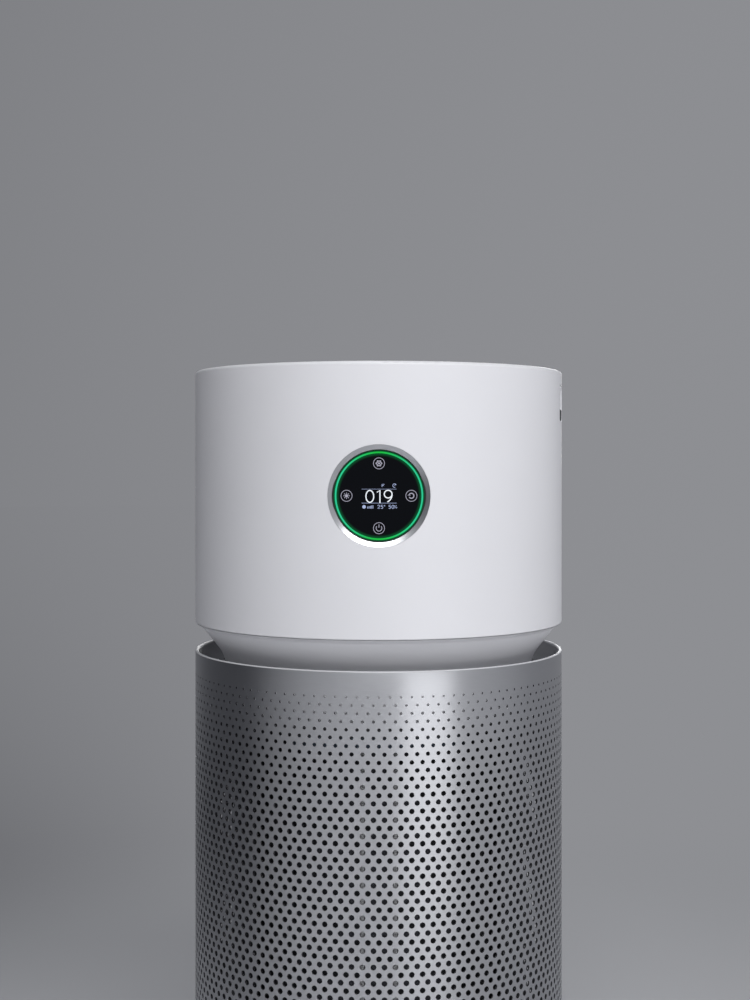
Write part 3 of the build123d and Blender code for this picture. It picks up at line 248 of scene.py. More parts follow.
@dataclass(frozen=True)
class GrainedFinish(Finish):
    """A finish with soft clouds of colour and gloss, and a fine grain in relief."""

    cloud_mm: float = 70.0
    swing: float = 0.02
    gloss_swing: float = 0.1
    grain_mm: float = 0.9
    depth_mm: float = 0.006
    relief: float = 0.5

    def pattern(self, tree: Tree) -> Feeds:
        """Add the clouds, and the grain as a bump.

        Args:
            tree: the material's node tree.

        Returns:
            What feeds the shader.
        """
        place = put(tree, "TexCoord").outputs["Object"]
        cloud = put(tree, "TexNoise", {"Vector": place, "Scale": per_metre(self.cloud_mm), "Detail": 3.0})
        bump = put(tree, "Bump", {"Height": self.grain(tree, place), "Strength": self.relief,
                                  "Distance": self.depth_mm * MM})
        return self.varied(tree, cloud, self.swing, self.gloss_swing) | {"Normal": bump}

    def grain(self, tree: Tree, place: Socket) -> Node:
        """Return the grain's height, here an even noise."""
        return put(tree, "TexNoise", {"Vector": place, "Scale": per_metre(self.grain_mm), "Detail": 2.0})


@dataclass(frozen=True)
class MouldedPlastic(GrainedFinish):
    """Injection-moulded plastic: an even colour with slight flow clouds, and a broad soft sheen.

    The mould's spark-eroded grain, really about 0.1 mm, is drawn coarser so that it shows.
    """


@dataclass(frozen=True)
class PlainMetal(GrainedFinish):
    """Plated, cast or turned metal: bright, with faint clouds and a fine surface grain."""

    METAL = True


@dataclass(frozen=True)
class PleatedPaper(GrainedFinish):
    """Glass-fibre filter paper: off-white and matt, with fibre clumps drawn coarse enough to show."""

    cloud_mm: float = 24.0
    swing: float = 0.05
    grain_mm: float = 1.6
    depth_mm: float = 0.15
    relief: float = 0.6

    def grain(self, tree: Tree, place: Socket) -> Node:
        """Return the height of matted fibres, a rough and twisted noise."""
        return put(tree, "TexNoise", {"Vector": place, "Scale": per_metre(self.grain_mm), "Detail": 6.0,
                                      "Roughness": 0.7, "Distortion": 1.5})


@dataclass(frozen=True)
class SoftRubber(GrainedFinish):
    """Matt rubber or cellular foam: pores or a dusty grain with no shine."""

    cloud_mm: float = 20.0
    swing: float = 0.12
    grain_mm: float = 0.8
    depth_mm: float = 0.1

    def grain(self, tree: Tree, place: Socket) -> Node:
        """Return the height of the cells, each deepest at its middle."""
        return put(tree, "TexVoronoi", {"Vector": place, "Scale": per_metre(self.grain_mm)})


@dataclass(frozen=True, kw_only=True)
class AnodisedSheet(Finish):
    """Satin anodised aluminium sheet, brushed around the body, so a lamp draws an upright band on it.

    Its back and its trimmed upper edge aren't brushed: there it is dull, pale and hardly metallic. The
    walls of its punched holes are painted dark as shade, so that small holes read as dark dots. The
    scratches are drawn far wider than real ones so that they show.
    """

    front_radius: float
    back_radius: float
    top: float
    edge_mm: float = 0.9
    plain_mm: float = 6.0
    spread: float = 0.6
    stroke_mm: float = 14.0
    scratch_mm: float = 0.5
    swing: float = 0.06
    gloss_swing: float = 0.12
    dull_colour: str = "#CCCDD0"
    dull_roughness: float = 0.7
    dull_metallic: float = 0.15
    # painted shade: the dark colour of the holes' walls, where shade falls inside the holes
    wall_shade_colour: str = "#5E5F63"
    tolerance: float = 0.05 * MM

    METAL = True

    def principled(self) -> Feeds:
        """Return the shader's constant sockets, with gloss spread along the upright tangent."""
        return super().principled() | {"Anisotropic": self.spread}

    def pattern(self, tree: Tree) -> Feeds:
        """Add brush strokes that run along the arc; the sheet's map holds height and arc in metres.

        Args:
            tree: the material's node tree.

        Returns:
            What feeds the shader.
        """
        flat = put(tree, "UVMap", uv_map=PerforatedSkin.MAP)
        scale = (per_metre(self.scratch_mm), per_metre(self.stroke_mm), 1.0)
        stroke = put(tree, "Mapping", {"Vector": flat, "Scale": scale})
        brush = put(tree, "TexNoise", {"Vector": stroke, "Scale": 1.0, "Detail": 2.0})
        feeds = self.varied(tree, brush, self.swing, self.gloss_swing)
        dull, wall = self.zones(tree)
        colour = feeds["Base Color"]
        # paint the holes' walls dark as shade, then make the back and the upper edge pale
        for share, code in ((wall, self.wall_shade_colour), (dull, self.dull_colour)):
            colour = put(tree, "Mix", {0: share, 1: colour, 2: linear(code)}, data_type="RGBA")
        rough = put(tree, "Mix", {0: dull, 1: feeds["Roughness"], 2: self.dull_roughness})
        metal = put(tree, "MapRange", {"Value": dull, "To Min": 1.0, "To Max": self.dull_metallic})
        upright = put(tree, "Tangent", direction_type="UV_MAP", uv_map=PerforatedSkin.MAP)
        return {"Base Color": colour, "Roughness": rough, "Metallic": metal, "Tangent": upright}

    def zones(self, tree: Tree) -> tuple[Node, Node]:
        """Mark where the sheet isn't brushed, by the distance from the body's axis and the height.

        Args:
            tree: the material's node tree.

        Returns:
            One on the back and the upper edge, and one on the walls of the holes for painted shade; nought
            elsewhere.
        """
        place = put(tree, "TexCoord").outputs["Object"]
        flat = put(tree, "VectorMath", {0: place, 1: (1.0, 1.0, 0.0)}, operation="MULTIPLY")
        reach = put(tree, "VectorMath", {0: flat}, operation="LENGTH")
        height = put(tree, "SeparateXYZ", {0: place}).outputs[Axis.Z.value]
        behind = self.back_radius + self.tolerance
        middle = (self.front_radius + self.back_radius) / 2
        half = (self.front_radius - self.back_radius) / 2 - self.tolerance
        edge_start = self.top - self.edge_mm * MM
        holes_end = self.top - self.plain_mm * MM
        back = put(tree, "Math", {0: reach, 1: behind}, operation="LESS_THAN")
        edge = put(tree, "Math", {0: height, 1: edge_start}, operation="GREATER_THAN")
        between = put(tree, "Math", {0: reach, 1: middle, 2: half}, operation="COMPARE")
        below = put(tree, "Math", {0: height, 1: holes_end}, operation="LESS_THAN")
        dull = put(tree, "Math", {0: back, 1: edge}, operation="MAXIMUM")
        # painted shade: the walls of the holes, below the plain band, take the dark colour
        wall = put(tree, "Math", {0: between, 1: below}, operation="MULTIPLY")
        return dull, wall


@dataclass(frozen=True, kw_only=True)
class DisplayFinish(Finish):
    """A finish whose pattern lies about the display's axis."""

    centre: Place

    def offset(self, tree: Tree) -> Node:
        """Return the way from the display's centre."""
        place = put(tree, "TexCoord").outputs["Object"]
        return put(tree, "VectorMath", {0: place, 1: self.centre}, operation="SUBTRACT")

    def distance(self, tree: Tree) -> Node:
        """Return the distance from the display's axis."""
        flat = put(tree, "VectorMath", {0: self.offset(tree), 1: (1.0, 0.0, 1.0)}, operation="MULTIPLY")
        return put(tree, "VectorMath", {0: flat}, operation="LENGTH")


@dataclass(frozen=True, kw_only=True)
class SpunMetal(DisplayFinish):
    """Satin aluminium turned on a lathe: soft streaks of light, from rings drawn coarse enough to show."""

    ring_mm: float = 0.35
    swing: float = 0.07
    gloss_swing: float = 0.15

    METAL = True

    def pattern(self, tree: Tree) -> Feeds:
        """Vary colour and gloss by a noise along the distance from the axis.

        Args:
            tree: the material's node tree.

        Returns:
            What feeds the shader.
        """
        sockets = {"W": self.distance(tree), "Scale": per_metre(self.ring_mm), "Detail": 1.0}
        rings = put(tree, "TexNoise", sockets, noise_dimensions="1D")
        return self.varied(tree, rings, self.swing, self.gloss_swing)


@dataclass(frozen=True, kw_only=True)
class BackPaintedGlass(DisplayFinish):
    """Coated cover glass painted black behind: near-black, mirror smooth, with faint finger smudges."""

    glow_colour: str = "#005028"
    glow_inner_mm: float = 29.9
    glow_outer_mm: float = 32.8
    smudge_mm: float = 16.0
    smudge_dullness: float = 2.5

    def principled(self) -> Feeds:
        """Return the shader's constant sockets, with the colour of the light that leaks in."""
        return super().principled() | {"Emission Color": linear(self.glow_colour)}

    def pattern(self, tree: Tree) -> Feeds:
        """Add smudges to the gloss, and the light that leaks into the glass beside the light ring.

        Args:
            tree: the material's node tree.

        Returns:
            What feeds the shader.
        """
        place = put(tree, "TexCoord").outputs["Object"]
        smudge = put(tree, "TexNoise", {"Vector": place, "Scale": per_metre(self.smudge_mm), "Detail": 4.0})
        gloss = put(tree, "MapRange", {
            "Value": smudge, "From Min": 0.4, "From Max": 0.8, "To Min": self.roughness,
            "To Max": self.roughness * self.smudge_dullness})
        leak = put(tree, "MapRange", {
            "Value": self.distance(tree), "From Min": self.glow_inner_mm * MM,
            "From Max": self.glow_outer_mm * MM}, interpolation_type="SMOOTHSTEP")
        return {"Roughness": gloss, "Emission Strength": leak}


@dataclass(frozen=True, kw_only=True)
class LitPlastic(DisplayFinish):
    """Clear plastic lit from behind: its own even light, which may change colour towards the sides."""

    side_colour: str
    strength: float = 1.0
    reach_mm: float = 33.0
    unlit_colour: str = "#0B0E0D"

    def principled(self) -> Feeds:
        """Return the shader's constant sockets: a dark body, so that the light alone gives the colour."""
        body = {"Base Color": linear(self.unlit_colour), "Emission Strength": self.strength}
        return super().principled() | body

    def pattern(self, tree: Tree) -> Feeds:
        """Mix the two colours by the distance to either side of the centre.

        Args:
            tree: the material's node tree.

        Returns:
            What feeds the shader.
        """
        side = put(tree, "SeparateXYZ", {0: self.offset(tree)}).outputs[Axis.X.value]
        away = put(tree, "Math", {0: side}, operation="ABSOLUTE")
        share = put(tree, "MapRange", {"Value": away, "From Max": self.reach_mm * MM},
                    interpolation_type="SMOOTHSTEP")
        sockets = {0: share, 1: linear(self.colour), 2: linear(self.side_colour)}
        return {"Emission Color": put(tree, "Mix", sockets, data_type="RGBA")}


@dataclass(frozen=True)
class WovenNet(Finish):
    """Woven nylon net: a plain weave of dark threads, matt, with painted shade of the pleats below: paler
    on their ridges.
    """

    radius_mm: float = 125.0
    thread_mm: float = 1.6       # drawn coarser than the real 0.5 mm so that it shows
    thread_swing: float = 0.5
    pleats: int = 90
    pleat_shade_swing: float = 0.6
    depth_mm: float = 0.2

    def pattern(self, tree: Tree) -> Feeds:
        """Weave sine waves along the arc and along the height into bump and tint.

        A cosine wave with one crest for each pleat paints the pleats' shade into the tint: paler on the
        ridges, darker between.

        Args:
            tree: the material's node tree.

        Returns:
            What feeds the shader.
        """
        def wave(level: Node | Socket, rate: float, shape: str) -> Node:
            """Return the sine or cosine of a level times a rate."""
            phase = put(tree, "Math", {0: level, 1: rate}, operation="MULTIPLY")
            return put(tree, "Math", {0: phase}, operation=shape)

        place = put(tree, "TexCoord").outputs["Object"]
        right, back, height = put(tree, "SeparateXYZ", {0: place}).outputs
        angle = put(tree, "Math", {0: back, 1: right}, operation="ARCTAN2")
        rate = FULL_TURN * per_metre(self.thread_mm)
        threads = {0: wave(angle, rate * self.radius_mm * MM, "SINE"), 1: wave(height, rate, "SINE")}
        weave = put(tree, "Math", threads, operation="MULTIPLY")
        share = put(tree, "MapRange", {"Value": weave, "From Min": -1.0})
        dark, pale = (shaded(self.colour, 1 + sign * self.thread_swing) for sign in (-1, 1))
        tint = put(tree, "Mix", {0: share, 1: dark, 2: pale}, data_type="RGBA")
        # painted shade of the pleats seen through the net: paler over their ridges, darker between them
        pleat_shade = put(tree, "MapRange", {
            "Value": wave(angle, float(self.pleats), "COSINE"), "From Min": -1.0,
            "To Min": 1 - self.pleat_shade_swing, "To Max": 1 + self.pleat_shade_swing})
        pleat_shaded_tint = put(tree, "VectorMath", {0: tint, "Scale": pleat_shade}, operation="SCALE")
        bump = put(tree, "Bump", {"Height": share, "Strength": 0.8, "Distance": self.depth_mm * MM})
        return {"Base Color": pleat_shaded_tint, "Normal": bump}


@dataclass(frozen=True)
class LayeredMetal(Finish):
    """Metal in thin layers or turns, laminations or enamelled wire: fine bands that catch the light."""

    pitch_mm: float = 0.9        # drawn about twice the real pitch so that it shows
    dark_share: float = 0.45
    depth_mm: float = 0.15

    METAL = True
    BAND_SCALE = 0.314           # scale at which a wave texture has one band to a unit

    def pattern(self, tree: Tree) -> Feeds:
        """Band the colour and the height along the upright axis.

        Args:
            tree: the material's node tree.

        Returns:
            What feeds the shader.
        """
        place = put(tree, "TexCoord").outputs["Object"]
        scale = self.BAND_SCALE * per_metre(self.pitch_mm)
        wave = put(tree, "TexWave", {"Vector": place, "Scale": scale}, bands_direction="Z")
        bands = wave.outputs["Fac"]
        ends = {1: shaded(self.colour, self.dark_share), 2: linear(self.colour)}
        tint = put(tree, "Mix", {0: bands} | ends, data_type="RGBA")
        bump = put(tree, "Bump", {"Height": bands, "Strength": 0.7, "Distance": self.depth_mm * MM})
        return {"Base Color": tint, "Normal": bump}


@dataclass(frozen=True)
class CircuitBoard(Finish):
    """Glass-epoxy board under green solder resist, with tinned tracks and dark parts above its face."""

    axis: Axis = Axis.Z
    face: float = 0.0
    upward: bool = True
    part_colour: str = "#1A1B1D"
    track_colour: str = "#2F6B46"
    track_mm: float = 3.0
    pour_shade: float = 1.25

    def pattern(self, tree: Tree) -> Feeds:
        """Draw tracks as a brick pattern, and paint what stands off the face as dark parts.

        Args:
            tree: the material's node tree.

        Returns:
            What feeds the shader.
        """
        place = put(tree, "TexCoord").outputs["Object"]
        turn = (0.0, 0.0, 0.0) if self.axis is Axis.Z else (math.pi / 2, 0.0, 0.0)
        laid = put(tree, "Mapping", {"Vector": place, "Rotation": turn})
        tracks = put(tree, "TexBrick", {
            "Vector": laid, "Color1": linear(self.colour), "Color2": shaded(self.colour, self.pour_shade),
            "Mortar": linear(self.track_colour), "Scale": per_metre(self.track_mm), "Mortar Size": 0.06,
            "Brick Width": 1.7, "Row Height": 0.6})
        level = put(tree, "SeparateXYZ", {0: place}).outputs[self.axis.value]
        test = "GREATER_THAN" if self.upward else "LESS_THAN"
        above = put(tree, "Math", {0: level, 1: self.face}, operation=test)
        sockets = {0: above, 1: tracks, 2: linear(self.part_colour)}
        return {"Base Color": put(tree, "Mix", sockets, data_type="RGBA")}


def mesh_piece(name: str, points: np.ndarray, faces: list[np.ndarray],
               sharp_deg: float = 40.0) -> bpy.types.Object:
    """Make a mesh object at the origin from whole arrays.

    Args:
        name: name of the piece.
        points: vertex places, one row each.
        faces: arrays of vertex numbers; each array holds faces of one corner count.
        sharp_deg: edges that turn by more than this stay crisp.

    Returns:
        The linked object.
    """
    mesh = bpy.data.meshes.new(name)
    corners = np.concatenate([group.ravel() for group in faces]).astype(np.int32)
    counts = np.concatenate([np.full(len(group), group.shape[1]) for group in faces])
    starts = np.concatenate(([0], np.cumsum(counts)[:-1])).astype(np.int32)
    mesh.vertices.add(len(points))
    mesh.vertices.foreach_set("co", np.asarray(points, np.float32).ravel())
    mesh.loops.add(len(corners))
    mesh.loops.foreach_set("vertex_index", corners)
    mesh.polygons.add(len(counts))
    mesh.polygons.foreach_set("loop_start", starts)
    mesh.update(calc_edges=True)
    mesh.shade_smooth()
    mesh.set_sharp_from_angle(angle=math.radians(sharp_deg))
    piece = bpy.data.objects.new(name, mesh)
    bpy.context.scene.collection.objects.link(piece)
    return piece


def grid_quads(ids: np.ndarray, close_rows: bool = False, close_columns: bool = False) -> np.ndarray:
    """Return the quads of a grid of vertex numbers.

    Args:
        ids: vertex numbers, rows along the first axis.
        close_rows: join the last row to the first.
        close_columns: join the last column to the first.

    Returns:
        Quads that run along the columns, then up the rows.
    """
    if close_rows:
        ids = np.vstack([ids, ids[:1]])
    if close_columns:
        ids = np.hstack([ids, ids[:, :1]])
    return np.stack([ids[:-1, :-1], ids[:-1, 1:], ids[1:, 1:], ids[1:, :-1]], axis=-1).reshape(-1, 4)


def around(reach: np.ndarray, angle: np.ndarray, height: np.ndarray) -> np.ndarray:
    """Return places about the body's axis, from their distance, angle and height."""
    places = np.broadcast_arrays(reach * np.cos(angle), reach * np.sin(angle), height)
    return np.stack(places, axis=-1).reshape(-1, 3)


def dress(piece: bpy.types.Object, finish: Finish) -> None:
    """Give a piece one finish in place of what it had."""
    piece.data.materials.clear()
    piece.data.materials.append(finish.material())


def settle(piece: bpy.types.Object, body: Body, finish: Finish, slot: str, *stands_for: str) -> None:
    """Finish a new piece, put it on its body and report it.

    Args:
        piece: the new piece.
        body: body of the frame that it moves with.
        finish: its material.
        slot: the record's material slot; not used.
        stands_for: nodes of the frame that it replaces.
    """
    dress(piece, finish)
    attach(piece, body.value)
    if stands_for:
        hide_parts(*stands_for)
    log.info("%s: %d faces on %s", piece.name, len(piece.data.polygons), body.value)


@dataclass
class PerforatedSkin:
    """A part of the sheet-metal skin, with rows of round holes and a rolled upper rim.

    The sheet is a lattice of brick cells. Its lines lie half a pitch from the hole centres, and rows are
    shifted by half a pitch, so each cell has six lattice points round an eight-sided hole.
    """

    name: str
    node: str
    body: Body
    finish: Finish
    middle_deg: float
    half_deg: float
    half_gap: float = 0.6 * MM
    holes_round: int = 118
    row_pitch: float = 6.22 * MM
    rim_to_first_row: float = 19.7 * MM
    smallest: float = 1.9 * MM
    largest: float = 4.6 * MM
    fade_rows: int = 20
    sheet: float = 1.2 * MM
    bead: float = 2.6 * MM
    bead_drop: float = 3.8 * MM
    plain_edge: float = 3.0 * MM
    sides: int = 8
    bead_steps: int = 9
    foot_steps: int = 5
    sharp_deg: float = 55.0
    radius: float = field(init=False)
    bottom: float = field(init=False)
    top: float = field(init=False)

    MAP = "sheet"
    # faces between the six lattice points of a cell, 0 to 5, and the corners of its hole, 6 to 13
    THREES = ((0, 1, 6), (1, 7, 6), (3, 10, 9), (3, 4, 10), (4, 11, 10), (0, 6, 13))
    FOURS = ((1, 2, 8, 7), (2, 3, 9, 8), (4, 5, 12, 11), (5, 0, 13, 12))

    def __post_init__(self) -> None:
        """Take the radius and the height from the front sleeve's node."""
        low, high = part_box("front_sleeve")
        self.radius = (high.x - low.x) / 2
        self.bottom, self.top = low.z, high.z

    def columns(self) -> tuple[np.ndarray, int]:
        """Lay out the lattice's columns, half a hole pitch apart between the sheet's edges.

        Returns:
            The angles, and the first inner column's number, counted from the front.
        """
        half = math.pi / self.holes_round
        edge = self.plain_edge / self.radius
        front, middle, reach = np.radians([FRONT_DEG, self.middle_deg, self.half_deg])
        reach -= self.half_gap / self.radius
        start, end = middle - reach, middle + reach
        first = math.ceil((start + edge - front) / half)
        last = math.floor((end - edge - front) / half)
        inner = front + half * np.arange(first, last + 1)
        return np.concatenate(([start], inner, [end])), first

    def levels(self) -> np.ndarray:
        """Return the heights of the hole rows, from the top down."""
        room = self.top - self.bottom - 2 * self.rim_to_first_row
        count = int(room / self.row_pitch) + 1
        return self.top - self.rim_to_first_row - self.row_pitch * np.arange(count)

    def hole_radii(self) -> np.ndarray:
        """Return each row's hole radius: it grows from either end, fast at first, over the fading rows."""
        order = np.arange(len(self.levels()))
        share = np.clip(np.minimum(order, order[::-1]) / self.fade_rows, 0, 1)
        return (self.smallest + (self.largest - self.smallest) * share * (2 - share)) / 2

    def rim_profile(self) -> np.ndarray:
        """Draw the rim: from the lattice up the outside, round the bead and down to the inner face.

        Returns:
            Points of radius and height.
        """
        start = self.levels()[0] + self.row_pitch / 2
        half = self.bead / 2
        turn = np.linspace(0, math.pi, self.bead_steps)
        middle = self.radius - half
        bead = np.stack([middle + half * np.cos(turn), self.top - half + half * np.sin(turn)], axis=1)
        inner = self.radius - self.sheet
        foot = self.top - self.bead_drop
        neck = [[middle - half, foot + half], [inner, foot], [inner, start]]
        return np.vstack([[self.radius, start], bead, neck])

    def foot_profile(self) -> np.ndarray:
        """Draw the foot: from the lattice down the inside, round the lower edge and up the outside.

        Returns:
            Points of radius and height.
        """
        end = self.levels()[-1] - self.row_pitch / 2
        half = self.sheet / 2
        turn = np.linspace(math.pi, FULL_TURN, self.foot_steps)
        middle = self.radius - half
        edge = np.stack([middle + half * np.cos(turn), self.bottom + half + half * np.sin(turn)], axis=1)
        return np.vstack([[self.radius - self.sheet, end], edge, [self.radius, end]])

    def front_faces(self, lattice: np.ndarray, holes: np.ndarray, row: np.ndarray,
                    step: np.ndarray) -> list[np.ndarray]:
        """Join the outer face: a ring of faces round each hole, and plain quads elsewhere.

        Args:
            lattice: vertex numbers of the lattice.
            holes: vertex numbers of the hole corners, one row for each hole.
            row: row of each hole.
            step: column of each hole.

        Returns:
            Triangles, quads and plain quads.
        """
        corners = ((1, 1), (0, 1), (0, 0), (0, -1), (1, -1), (1, 0))
        cell = [lattice[row + down, step + right][:, None] for down, right in corners]
        ring = np.hstack([*cell, holes])
        taken = np.zeros((len(lattice) - 1, lattice.shape[1] - 1), bool)
        taken[row, step - 1] = True
        taken[row, step] = True
        plain = grid_quads(lattice[::-1])[~taken[::-1].ravel()]
        return [ring[:, self.THREES].reshape(-1, 3), ring[:, self.FOURS].reshape(-1, 4), plain]

    def build(self) -> None:
        """Make the sheet.

        Outer and inner faces share the same angles and heights at two radii, and the hole walls join
        them. Rim and foot are profiles carried along the arc, and the two upright edges are closed.
        """
        angles, first = self.columns()
        rows = self.levels()
        lines = np.append(rows + self.row_pitch / 2, rows[-1] - self.row_pitch / 2)
        across = len(angles)
        lattice = np.arange(len(lines) * across).reshape(-1, across)

        row, step = np.meshgrid(np.arange(len(rows)), np.arange(2, across - 2), indexing="ij")
        drilled = (first + step - 1 - row) % 2 == 0
        row, step = row[drilled], step[drilled]
        turn = FULL_TURN * np.arange(self.sides) / self.sides
        size = self.hole_radii()[row][:, None]
        hole_angle = (angles[step][:, None] + size * np.cos(turn) / self.radius).ravel()
        hole_height = (rows[row][:, None] + size * np.sin(turn)).ravel()
        holes = lattice.size + np.arange(hole_angle.size).reshape(-1, self.sides)
        following = np.roll(holes, -1, axis=1)
        behind = lattice.size + holes.size

        outside = self.front_faces(lattice, holes, row, step)
        inside = [(group + behind)[:, ::-1] for group in outside]
        walls = np.stack([holes, following, following + behind, holes + behind], axis=-1).reshape(-1, 4)

        rim, foot = self.rim_profile(), self.foot_profile()
        ends = np.vstack([rim[1:-1], foot[1:-1]])
        new = 2 * behind + np.arange(len(ends) * across).reshape(-1, across)
        rim_new, foot_new = np.split(new, [len(rim) - 2])
        rim_ids = np.vstack([lattice[:1], rim_new, lattice[:1] + behind])
        foot_ids = np.vstack([lattice[-1:] + behind, foot_new, lattice[-1:]])
        edges = [np.stack([edge + behind, edge], axis=1) for edge in (lattice[::-1, 0], lattice[:, -1])]
        strips = [grid_quads(ids) for ids in (rim_ids, foot_ids, *edges)]
        caps = [rim_ids[:, :1].T, rim_ids[::-1, -1:].T, foot_ids[:, :1].T, foot_ids[::-1, -1:].T]

        angle = np.concatenate([np.tile(angles, len(lines)), hole_angle])
        height = np.concatenate([np.repeat(lines, across), hole_height])
        angle = np.concatenate([angle, angle, np.tile(angles, len(ends))])
        height = np.concatenate([height, height, np.repeat(ends[:, 1], across)])
        reach = np.repeat([self.radius, self.radius - self.sheet], behind)
        reach = np.concatenate([reach, np.repeat(ends[:, 0], across)])
        faces = [*outside, *inside, walls, *strips, *caps]
        piece = mesh_piece(self.name, around(reach, angle, height), faces, self.sharp_deg)
        self.unwrap(piece.data, np.stack([height, angle * self.radius], axis=1))
        settle(piece, self.body, self.finish, "perforated_sheet", self.node)

    def unwrap(self, mesh: bpy.types.Mesh, flat: np.ndarray) -> None:
        """Give the sheet its map, height first, so that its tangent stands upright.

        Args:
            mesh: the sheet's mesh.
            flat: height of each vertex, and its way along the arc.
        """
        corner = np.empty(len(mesh.loops), np.int32)
        mesh.loops.foreach_get("vertex_index", corner)
        layer = mesh.uv_layers.new(name=self.MAP)
        layer.uv.foreach_set("vector", flat[corner].astype(np.float32).ravel())


@dataclass(frozen=True)
class Stroke:
    """A line of a display mark: its path in millimetres about the display's centre."""

    path: np.ndarray
    width: float
    closed: bool = False

    def placed(self, right: float, up: float, scale: float) -> "Stroke":
        """Return the stroke scaled and moved."""
        return Stroke(self.path * scale + (right, up), self.width * scale, self.closed)


def line(*points: tuple[float, float], width: float) -> Stroke:
    """Return a straight or broken stroke through points."""
    return Stroke(np.array(points, float), width)


def arc(right: float, up: float, wide: float, high: float, start: float, end: float,
        width: float, steps: int = 48) -> Stroke:
    """Return a stroke along an ellipse's arc.

    Args:
        right: centre, to the right.
        up: centre, upwards.
        wide: half width of the ellipse.
        high: half height of the ellipse.
        start: first angle in degrees.
        end: last angle in degrees; a full turn closes the stroke.
        width: width of the line.
        steps: points along the arc.

    Returns:
        The stroke.
    """
    closed = abs(end - start) >= 360
    turn = np.radians(np.linspace(start, end, steps, endpoint=not closed))
    path = np.stack([right + wide * np.cos(turn), up + high * np.sin(turn)], axis=1)
    return Stroke(path, width, closed)


def circle(right: float, up: float, radius: float, width: float) -> Stroke:
    """Return a stroke round a full circle."""
    return arc(right, up, radius, radius, 0, 360, width)


class Digit(Enum):
    """Figures as strokes in a cell about 5.4 wide and 10 high, centred."""

    ZERO = "0"
    ONE = "1"
    TWO = "2"
    FIVE = "5"
    NINE = "9"

    def strokes(self, width: float) -> list[Stroke]:
        """Draw the figure.

        Args:
            width: width of its lines.

        Returns:
            The figure's strokes.
        """
        shapes = {
            Digit.ZERO: [arc(0, 0, 2.75, 4.2, 0, 360, width)],
            Digit.ONE: [line((-1.7, 2.9), (0.4, 4.4), (0.4, -4.7), width=width)],
            Digit.TWO: [arc(0, 1.9, 2.5, 2.5, 170, -38, width),
                        line((1.97, 0.36), (-2.6, -4.2), (2.7, -4.2), width=width)],
            Digit.FIVE: [line((2.3, 4.3), (-1.7, 4.3), (-2.1, 0.7), width=width),
                         arc(-0.1, -1.5, 2.6, 2.8, 140, -150, width)],
            Digit.NINE: [arc(0, 1.6, 2.75, 2.7, 0, 360, width),
                         arc(-4.2, 1.2, 6.95, 6.1, 4, -58, width)],
        }
        return shapes[self]


def display_centre() -> Place:
    """Return the centre of the display's face."""
    low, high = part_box("display_glass")
    return ((low.x + high.x) / 2, low.y, (low.z + high.z) / 2)


